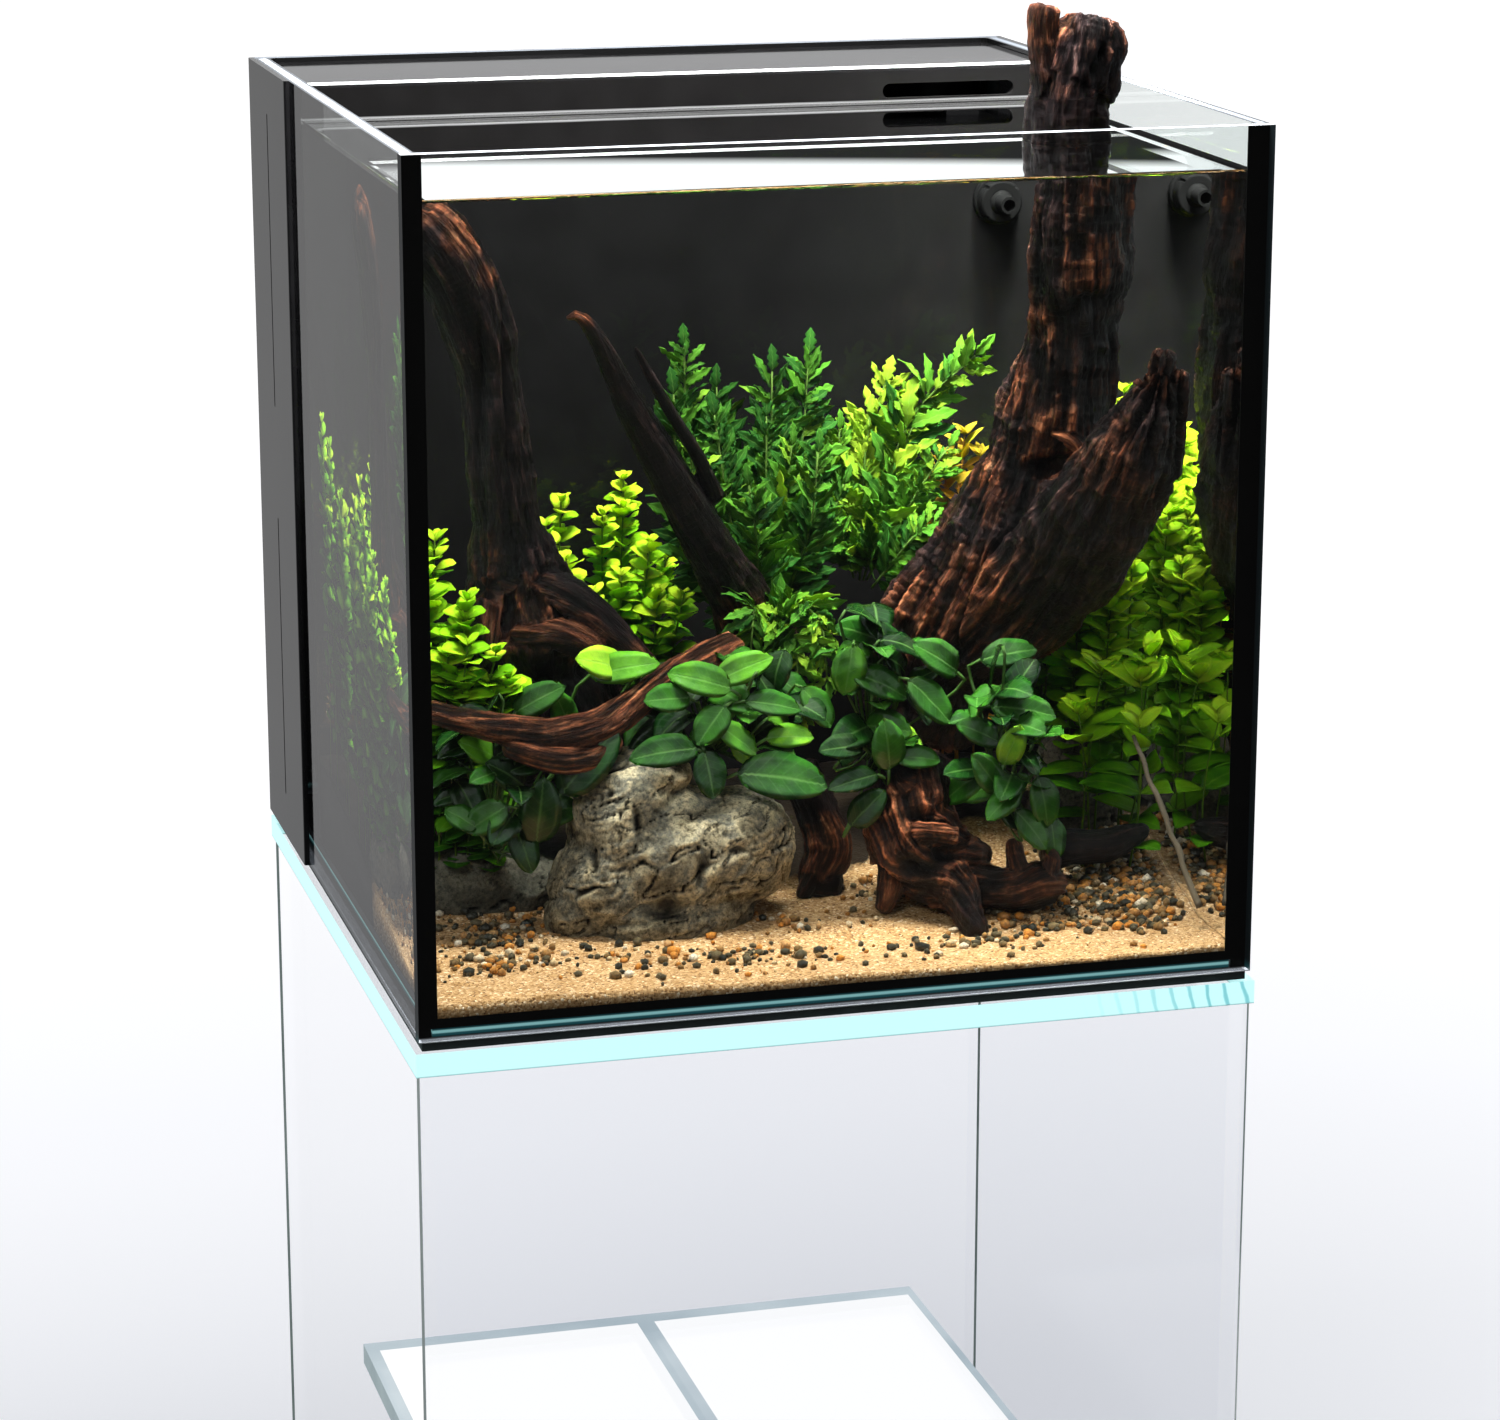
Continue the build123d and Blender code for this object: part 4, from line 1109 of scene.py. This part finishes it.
# ---------------------------------------------------------------- leaves
class Bunch:
    """Collects leaves and stalks of one plant into one mesh."""

    def __init__(self, seed):
        self.rng = np.random.default_rng(seed)
        self.verts, self.faces, self.marks, self.count = [], [], [], 0

    def add(self, verts, faces, marks):
        self.verts.append(verts)
        self.faces += [[i + self.count for i in face] for face in faces]
        self.marks.append(marks)
        self.count += len(verts)

    def leaf(self, base, towards, face, length, width, tone, form="oval", bend=0.5, fold=0.25, wave=0.0,
             rows=9,
             thick=0.45):
        """A blade from a base point (mm): towards its tip, its upper side turned to face."""
        u = np.linspace(0, 1, rows)
        outline = {"oval": np.sin(np.pi * u ** 0.9) ** 0.56 * (1 - 0.06 * u),
                   "round": np.sin(np.pi * u ** 1.1) ** 0.5,
                   "lance": np.sin(np.pi * u ** 0.7) ** 0.9 * (1 - 0.3 * u),
                   "lobed": np.sin(np.pi * u ** 0.8) ** 0.65 * (0.78 + 0.22 * np.cos(u * 24 + 0.6))}[form]
        outline = np.maximum(outline, 0.03)
        outline[0] = 0.08
        t = unit(towards)
        n = np.asarray(face, float)
        n = unit(n - t * n.dot(t) + 1e-6)
        side = np.cross(n, t)
        angle = -bend * (u - 0.15)
        step = length / (rows - 1)
        x = np.concatenate([[0], np.cumsum(np.cos(angle[1:]) * step)])
        z = np.concatenate([[0], np.cumsum(np.sin(angle[1:]) * step)])
        v = np.array([-1, -0.6, -0.08, 0.08, 0.6, 1, 0.5, -0.5])
        up = np.array([0, 0.7, 0.75, 0.75, 0.7, 0, -0.7, -0.7]) * thick
        half = outline[:, None] * width / 2
        rise = fold * np.abs(v)[None, :] * half + up[None, :] * np.minimum(outline, 1)[:, None]
        rise = rise + wave * np.sin(u[:, None] * 15 + v[None, :] * 2) * np.abs(v)[None, :] ** 2
        local = (t * x[:, None, None] + n * z[:, None, None] + side * (v[None, :] * half)[..., None]
                 + (n * np.cos(angle)[:, None, None] - t * np.sin(angle)[:, None, None]) * rise[..., None])
        verts = spot(local.reshape(-1, 3) + base)
        faces = grid_faces(rows, 8, wrap=True).tolist()
        faces += [list(range(8))[::-1], [rows * 8 - 8 + k for k in range(8)]]
        marks = np.stack([np.repeat(u, 8), np.tile(v, rows), np.full(rows * 8, tone)], 1)
        self.add(verts, faces, marks)

    def stalk(self, stations, radius, tone, around=5, count=8):
        path, _ = spline([(*s, 1.0) for s in stations], count)
        size = np.linspace(radius * 1.15, radius * 0.8, count)
        verts, faces = tube(spot(path), size * MM, around)
        self.add(verts, faces, np.tile((0.0, 0.0, tone), (len(verts), 1)))

    def finish(self, name, material, slot, replaces):
        add_piece(name, in_tank(np.vstack(self.verts)), self.faces, material, replaces,
                         attributes={"leaf": np.vstack(self.marks)})


def unit(v):
    v = np.asarray(v, float)
    return v / (np.linalg.norm(v) + 1e-9)


def leaf_material(name, stops, vein, gloss=0.32, through=0.3, vein_lift=0.5, side_veins=9.0, specular=0.5,
                  bloom=0.0):
    """Thin leaf that lets light through, with a midrib and side veins. Stops give colour by tone."""
    paint = Paint(name)
    marks = paint.attribute("leaf")
    along, off_rib = marks.channel(0), abs(marks.channel(1))
    blotch = paint.noise(110.0, 4.0, 0.6)
    base = (marks.channel(2) + (blotch - 0.5) * 0.4).ramp(*stops)
    base = base.tinted(along.spread(0.0, 0.55, 0.45, 1.05).grey())
    wave = ((along - off_rib * 0.22) * (side_veins * 6.2832)).sine()
    veins = off_rib.spread(0.02, 0.10, 1.0, 0.0).max(wave.spread(0.8, 1.0, 0.0, 0.22)) * vein_lift
    base = paint.mix_colour(veins, base, vein)
    if bloom:
        base = paint.mix_colour(paint.noise(75.0, 5.0, 0.6).spread(0.5, 0.72, 0.0, bloom), base,
                                (0.42, 0.5, 0.3))
    surface = paint.principled(base, gloss, specular=specular,
                               normal=(blotch - veins * 0.9).bump(0.5, 0.0012))
    glow = paint.mix_colour(0.35, base, (0.5, 0.72, 0.05))
    return paint.finish(paint.mix_shader(through, surface, paint.add("BsdfTranslucent", {"Color": glow})))


def anubias(name, node_name, middle, radii, number, seed, placed=()):
    """Broad dark leaves on stalks, spread over a mound; placed leaves are given one by one."""
    bunch = Bunch(seed)
    rng = bunch.rng
    middle, radii = np.asarray(middle, float), np.asarray(radii, float)
    root = middle - (0, -radii[1] * 0.3, radii[2] * 0.7)
    taken = []
    for x, y, z, dx, dy, dz, length, width, tone in placed:
        towards = unit((dx, dy, dz))
        base = np.array((x, y, z), float) - towards * length * 0.5
        bunch.leaf(base, towards, unit((0.15 * dx, -0.85, 0.55)), length, width, tone, "oval",
                   bend=rng.uniform(0.2, 0.7), fold=rng.uniform(0.15, 0.35), wave=0.6, rows=14, thick=0.5)
        bunch.stalk([base, base - towards * 6 - (0, -3, 4), (base + root) / 2 - (0, 0, 6), root], 0.9,
                    tone * 0.7, count=10)
        taken.append(np.array((x, y, z), float))
    spots = []
    for _ in range(number * 40):
        if len(spots) >= number:
            break
        direction = unit(rng.normal(size=3) + (0, -0.5, 0.3))
        if direction[1] > 0.6 or direction[2] < -0.8:
            continue
        where = middle + direction * radii * rng.uniform(0.6, 1.0)
        near = [np.linalg.norm((where - other) * (1, 0.5, 1)) for other in taken]
        if all(gap > 9 for gap in near):
            spots.append((where, direction))
            taken.append(where)
    for where, direction in spots:
        swing = unit(direction * (1, 0.6, 0.4) + rng.normal(size=3) * 0.45 + (0, -0.1, -0.15))
        face = unit(direction * 0.5 + (0, -0.55, 0.75) + rng.normal(size=3) * 0.28)
        length = rng.uniform(19, 31)
        tone = rng.uniform(0.0, 0.55) + (0.35 if rng.uniform() < 0.14 else 0)
        base = where - swing * length * 0.45
        bunch.leaf(base, swing, face, length, length * rng.uniform(0.6, 0.76), tone, "oval",
                   bend=rng.uniform(0.2, 1.1), fold=rng.uniform(0.1, 0.4), wave=0.6, rows=12, thick=0.5)
        bunch.stalk([base, base - swing * 5 - (0, 0, 3), (base + root) / 2 - (0, 0, 5), root], 0.8,
                    tone * 0.7)
    bunch.finish(name, SHARED["anubias"], "anubias_leaf", (node_name,))


def stems(name, node_name, feet, seed, material="bright", slot="bright_leaf", leaf=(9.5, 14.5), gap=6.5,
          form="round", tones=(0.22, 1.0), narrow=(0.74, 0.95)):
    """Thin stems with small leaves in crossed pairs. Feet give x, y, top height and lean (mm)."""
    bunch = Bunch(seed)
    rng = bunch.rng
    for x, y, top, lean_x, lean_y in feet:
        low = float(sand_height(np.array([float(x)]), np.array([float(y)]))[0])
        path, run = spline([(x, y, low, 1),
                            (x + lean_x * 0.3 + rng.normal() * 3, y + lean_y * 0.3, (low + top) / 2, 1),
                            (x + lean_x, y + lean_y, top, 1)], 30)
        bunch.stalk([path[0, :3], path[10, :3], path[20, :3], path[29, :3]], 0.6, 0.3, around=4, count=8)
        turn = rng.uniform(0, np.pi)
        at = max(12.0, run[-1] * 0.2)
        while at < run[-1]:
            k = min(29, int(at / run[-1] * 29))
            share = at / run[-1]
            size = rng.uniform(*leaf) * (0.8 + 0.4 * math.sin(math.pi * min(1, share * 0.85)))
            for half in (0, np.pi):
                if share < 0.6 and rng.uniform() < 0.15:
                    continue
                a = turn + half + rng.normal() * 0.3
                towards = (math.cos(a), math.sin(a), 0.2 + 0.7 * share ** 3 + rng.normal() * 0.2)
                tone = tones[0] + (tones[1] - tones[0]) * share ** 1.8 + rng.normal() * 0.1
                bunch.leaf(path[k, :3] + rng.normal(size=3) * 0.5, towards, (rng.normal() * 0.2, -0.35, 1),
                           size, size * rng.uniform(*narrow), float(np.clip(tone, 0, 1)), form,
                           bend=rng.uniform(0.2, 1.0), fold=0.2, wave=0.2, rows=8, thick=0.3)
            turn += np.pi / 2 + rng.normal() * 0.2
            at += gap * rng.uniform(0.7, 1.3) * (1.1 - 0.4 * share)
        for _ in range(5):
            a = rng.uniform(0, 2 * np.pi)
            bunch.leaf(path[29, :3], (math.cos(a) * 0.7, math.sin(a) * 0.7, 0.8), (0, -0.4, 1),
                       rng.uniform(*leaf) * 0.6, leaf[0] * 0.45, min(1.0, tones[1]), form, bend=0.3, fold=0.3,
                       rows=6, thick=0.25)
    bunch.finish(name, SHARED[material], slot, (node_name,))


def fern(name, node_name, fronds, seed):
    """Feathered fronds. Each is (root, tip, arch, tone, leaflet length) with leaflets along both edges."""
    bunch = Bunch(seed)
    rng = bunch.rng
    for root, tip, arch, tone, reach in fronds:
        root, tip = np.asarray(root, float), np.asarray(tip, float)
        middle = (root + tip) / 2 + np.asarray(arch, float)
        path, run = spline([(*root, 1), (*middle, 1), (*tip, 1)], 40)
        bunch.stalk([path[0, :3], path[13, :3], path[26, :3], path[39, :3]], 0.7, tone * 0.6, around=5,
                    count=12)
        tangent, _, _ = frames(path[:, :3])
        face = unit((0.0, -0.9, 0.45) + rng.normal(size=3) * 0.35)
        at = run[-1] * 0.1
        while at < run[-1] * 0.985:
            share = at / run[-1]
            k = min(39, int(share * 39))
            t = tangent[k]
            n = unit(face - t * face.dot(t))
            side = np.cross(n, t)
            swell = math.sin(math.pi * (0.12 + 0.83 * share) ** 0.85)
            size = 1.3 * reach * (0.45 + 0.55 * swell) * rng.uniform(0.65, 1.25)
            for sign in (-1, 1):
                if rng.uniform() < 0.07:
                    continue
                towards = unit(t * (0.5 + 0.6 * share) + side * sign + rng.normal(size=3) * 0.3)
                bunch.leaf(path[k, :3] + rng.normal(size=3) * 0.7, towards, n + rng.normal(size=3) * 0.45,
                           size, size * rng.uniform(0.3, 0.44),
                           float(np.clip(tone + (share - 0.6) * 0.3 + rng.normal() * 0.14, 0, 1)), "lobed",
                           bend=rng.uniform(-0.2, 1.1), fold=0.25, wave=0.6, rows=12, thick=0.25)
            at += reach * 0.165 * rng.uniform(0.75, 1.3)
        bunch.leaf(path[39, :3], tangent[39], face, reach * 0.7, reach * 0.4, tone, "lobed", bend=0.3,
                   rows=12, thick=0.25)
    bunch.finish(name, SHARED["fern"], "fern_leaf", (node_name,))


def plants():
    """Every plant of the scape."""
    SHARED["anubias"] = leaf_material("anubias_leaf",
                                      [(0.0, (0.002, 0.011, 0.003)), (0.3, (0.008, 0.045, 0.007)),
                                       (0.55, (0.035, 0.16, 0.012)), (0.8, (0.14, 0.42, 0.02)),
                                       (1.0, (0.42, 0.74, 0.03))], (0.22, 0.46, 0.10), gloss=0.22,
                                      through=0.16, specular=0.45, vein_lift=0.26, side_veins=7.0, bloom=0.06)
    SHARED["bright"] = leaf_material("bright_leaf", [
        (0.0, (0.006, 0.045, 0.003)), (0.3, (0.035, 0.19, 0.006)), (0.6, (0.16, 0.47, 0.008)),
        (0.85, (0.40, 0.78, 0.015)), (1.0, (0.72, 0.92, 0.04))], (0.5, 0.75, 0.1), gloss=0.4, through=0.4,
        vein_lift=0.2, side_veins=4.0, specular=0.3)
    SHARED["fern"] = leaf_material("fern_leaf",
                                   [(0.0, (0.004, 0.024, 0.005)), (0.35, (0.018, 0.095, 0.012)),
                                    (0.65, (0.09, 0.27, 0.02)), (1.0, (0.42, 0.62, 0.04))], (0.3, 0.48, 0.1),
                                   gloss=0.45, through=0.3, vein_lift=0.3, side_veins=5.0, specular=0.3)
    SHARED["red"] = leaf_material("red_leaf",
                                  [(0.0, (0.12, 0.06, 0.005)), (0.4, (0.46, 0.2, 0.02)),
                                   (0.7, (0.8, 0.42, 0.045)), (1.0, (0.85, 0.8, 0.06))], (0.7, 0.3, 0.06),
                                  gloss=0.4, through=0.38, specular=0.3)

    anubias("anubias_left_leaves", "anubias_left", (-164, -92, 100), (34, 28, 46), 20, 201, placed=[
        (-116, -112, 118, 0.6, -0.2, 0.75, 46, 27, 0.3), (-142, -112, 92, 0.1, -0.3, 0.9, 38, 24, 0.3),
        (-157, -104, 112, -0.5, -0.4, 0.5, 30, 20, 0.2), (-172, -100, 126, -0.6, -0.4, 0.4, 28, 18, 0.75),
        (-178, -100, 98, 0.3, -0.5, -0.6, 30, 19, 0.12), (-138, -84, 148, 0.6, -0.3, 0.4, 32, 18, 0.42),
        (-124, -82, 140, -0.3, -0.3, 0.8, 26, 16, 0.5), (-150, -108, 72, 0.3, -0.4, -0.8, 28, 17, 0.3),
        (-104, -88, 166, -0.9, -0.3, 0.35, 30, 20, 0.92), (-92, -90, 163, 0.9, -0.3, 0.2, 38, 19, 0.7)])
    anubias("anubias_centre_leaves", "anubias_centre", (-40, -84, 134), (52, 32, 32), 27, 202, placed=[
        (-12, -124, 104, 1.0, -0.25, -0.12, 50, 29, 0.36), (-76, -120, 122, -1.0, -0.2, 0.05, 38, 20, 0.36),
        (-52, -122, 108, 0.15, -0.3, -0.9, 27, 19, 0.3), (-54, -106, 157, -0.9, 0.1, 0.35, 36, 20, 0.6),
        (-30, -104, 161, 0.9, -0.2, 0.4, 34, 18, 0.7), (-15, -112, 142, 1.0, -0.2, -0.15, 31, 16, 0.46),
        (-50, -116, 134, -0.6, -0.3, -0.6, 26, 19, 0.48), (-36, -116, 126, 0.75, -0.2, -0.5, 30, 15, 0.62),
        (-72, -108, 148, -1.0, -0.2, 0.1, 26, 18, 0.5), (-6, -112, 124, 0.8, -0.3, 0.1, 26, 15, 0.8),
        (12, -98, 136, 0.5, -0.3, -0.7, 27, 17, 0.5)])
    anubias("anubias_middle_leaves", "anubias_middle", (46, -84, 138), (30, 28, 46), 21, 203, placed=[
        (47, -118, 116, -0.1, -0.3, 0.95, 30, 20, 0.52), (36, -116, 82, 0.5, -0.3, 0.6, 28, 18, 0.3),
        (22, -114, 116, -0.9, -0.3, 0.1, 26, 16, 0.22), (28, -104, 156, -0.2, -0.2, -0.9, 28, 20, 0.62),
        (46, -106, 148, 0.8, -0.2, -0.3, 34, 19, 0.42), (72, -112, 138, 0.6, -0.2, -0.6, 34, 20, 0.42),
        (64, -116, 108, 1.0, -0.3, 0.0, 26, 15, 0.45), (28, -118, 98, -1.0, -0.3, -0.1, 30, 15, 0.3),
        (40, -80, 172, -0.8, -0.3, 0.4, 30, 20, 0.36), (78, -104, 160, -0.7, -0.3, 0.6, 32, 20, 0.4)])
    anubias("anubias_right_leaves", "anubias_right", (112, -112, 110), (28, 28, 46), 21, 204, placed=[
        (122, -124, 132, 1.0, -0.2, -0.12, 38, 20, 0.44), (96, -128, 122, -0.8, -0.2, 0.5, 28, 16, 0.4),
        (98, -136, 101, -0.5, -0.3, 0.7, 30, 18, 0.5), (112, -136, 115, 0.3, -0.3, 0.9, 25, 16, 0.85),
        (131, -136, 82, 0.2, -0.3, -0.9, 30, 18, 0.46), (124, -138, 68, 0.6, -0.3, -0.7, 28, 17, 0.5),
        (107, -138, 84, -0.7, -0.3, -0.5, 26, 16, 0.5), (138, -130, 60, 0.1, -0.3, -0.95, 25, 15, 0.4),
        (120, -94, 158, 0.9, -0.2, 0.2, 32, 18, 0.34)])

    stems("stem_leaves_left", "stem_plant_left",
          [(-206, -26, 206, -2, -6), (-196, -40, 204, 4, -14), (-184, -52, 190, 10, -16),
           (-174, -60, 172, 16, -12), (-202, -54, 182, 0, -10), (-190, -64, 172, 6, -10),
           (-208, -10, 216, 0, 0), (-180, -64, 178, 6, -14), (-186, -44, 200, 14, -22),
           (-168, -66, 158, 16, -6), (-207, 22, 232, -2, 0), (-198, 40, 226, 2, 0), (-206, 58, 252, 0, 0),
           (-180, 54, 214, 8, -6), (-208, 78, 262, 0, 2), (-176, -66, 150, 12, -4), (-164, -60, 150, 14, -8),
           (-198, -30, 212, 6, -24), (-208, -44, 194, 0, -10)], 301, leaf=(11, 17), gap=8, tones=(0.25, 0.9))
    stems("stem_leaves_middle", "stem_plant_middle",
          [(-104, 60, 216, -4, 4), (-96, 78, 226, 0, 6), (-82, 66, 220, 6, 0), (-70, 74, 222, 8, 4),
           (-60, 60, 204, 10, 0), (-50, 78, 192, 12, 0), (-92, 50, 200, -8, -4), (-76, 48, 190, 6, -8),
           (-46, 60, 176, 14, -6), (-110, 78, 214, -4, 6), (-64, 86, 236, 4, 2), (-86, 42, 182, 0, -8),
           (-60, 44, 180, 10, -8)], 302)
    stems("stem_leaves_right", "stem_plant_right",
          [(172, 60, 250, 4, 0), (184, 72, 264, 2, 4), (196, 60, 268, 0, 0), (206, 76, 272, -2, 4),
           (164, 78, 236, 0, 4), (178, 44, 240, 6, -4), (192, 40, 254, 4, -6), (206, 48, 262, 0, -4),
           (170, 30, 222, 6, -8), (188, 22, 238, 6, -10), (204, 26, 250, 2, -8), (162, 56, 226, 2, 0),
           (206, 6, 240, 0, -8), (196, 4, 226, 4, -10), (182, 6, 212, 6, -10), (190, -14, 204, 6, -10),
           (206, -18, 218, 0, -10), (176, -10, 192, 6, -12), (200, -34, 192, 2, -12),
           (186, -34, 180, 4, -14)], 303, tones=(0.6, 1.0), leaf=(11, 17), gap=7)
    stems("broad_leaves_right", "broad_leaf_right",
          [(180, -48, 138, 0, -20), (196, -60, 134, 4, -18), (170, -62, 118, -6, -18),
           (206, -56, 146, 2, -12), (194, -82, 112, 0, -18)], 304, leaf=(24, 34), gap=30, form="oval",
          tones=(0.4, 0.95), narrow=(0.48, 0.62))
    fern("fern_centre_leaves", "fern_centre",
         [((0, 20, 160), (-36, 30, 316), (-14, 0, 8), 0.34, 19),
          ((4, 24, 160), (-16, 40, 292), (-8, 0, 0), 0.22, 19),
          ((8, 26, 160), (38, 50, 306), (6, 0, 4), 0.36, 22),
          ((0, 16, 158), (-44, 20, 292), (-16, 0, 4), 0.26, 22),
          ((4, 22, 158), (14, 34, 300), (2, 0, 2), 0.24, 22),
          ((4, 20, 150), (10, 30, 276), (0, -6, 4), 0.28, 20),
          ((0, 14, 150), (-38, 4, 266), (-12, -6, 6), 0.4, 19),
          ((6, 14, 150), (34, 6, 258), (8, -6, 8), 0.4, 20),
          ((0, 10, 150), (-10, -20, 246), (0, -12, 14), 0.42, 18),
          ((4, 18, 150), (-22, 16, 280), (-4, -6, 0), 0.28, 20),
          ((8, 4, 165), (10, -56, 118), (0, -24, 30), 0.66, 17),
          ((2, 4, 170), (26, -58, 142), (6, -22, 26), 0.6, 16),
          ((0, 6, 168), (-16, -50, 148), (-4, -22, 24), 0.6, 15),
          ((6, 8, 166), (0, -56, 132), (-2, -22, 26), 0.55, 16),
          ((8, 20, 150), (54, 30, 236), (6, -4, 10), 0.4, 18),
          ((2, 16, 150), (20, 10, 262), (2, -6, 2), 0.5, 19)], 401)
    fern("fern_right_leaves", "fern_right",
         [((70, 62, 180), (136, 60, 300), (-6, 0, 22), 0.62, 24),
          ((68, 62, 180), (86, 68, 286), (-4, 0, 6), 0.95, 23),
          ((70, 60, 180), (104, 66, 276), (-2, 0, 10), 0.8, 22),
          ((66, 58, 178), (58, 60, 262), (-6, 0, 0), 0.6, 17),
          ((74, 60, 176), (120, 56, 250), (4, -6, 12), 0.6, 17),
          ((76, 56, 172), (116, 40, 212), (4, -10, 14), 0.5, 17),
          ((70, 60, 176), (76, 64, 268), (-2, -2, 4), 0.85, 18),
          ((72, 60, 176), (100, 60, 262), (0, -4, 8), 0.6, 17)], 402)
    stems("red_leaves", "red_stem_plant", [
        (124, 84, 240, 0, 0), (134, 84, 252, 2, 0), (142, 80, 240, 2, -2), (118, 86, 230, -2, 0),
        (130, 76, 226, 0, -4)], 305, material="red", slot="red_leaf", leaf=(15, 21), gap=13, form="lance",
        tones=(0.3, 0.85), narrow=(0.42, 0.55))


studio()
glass()
hard_parts()
sand()
gravel()
rocks()
bogwood()
plants()
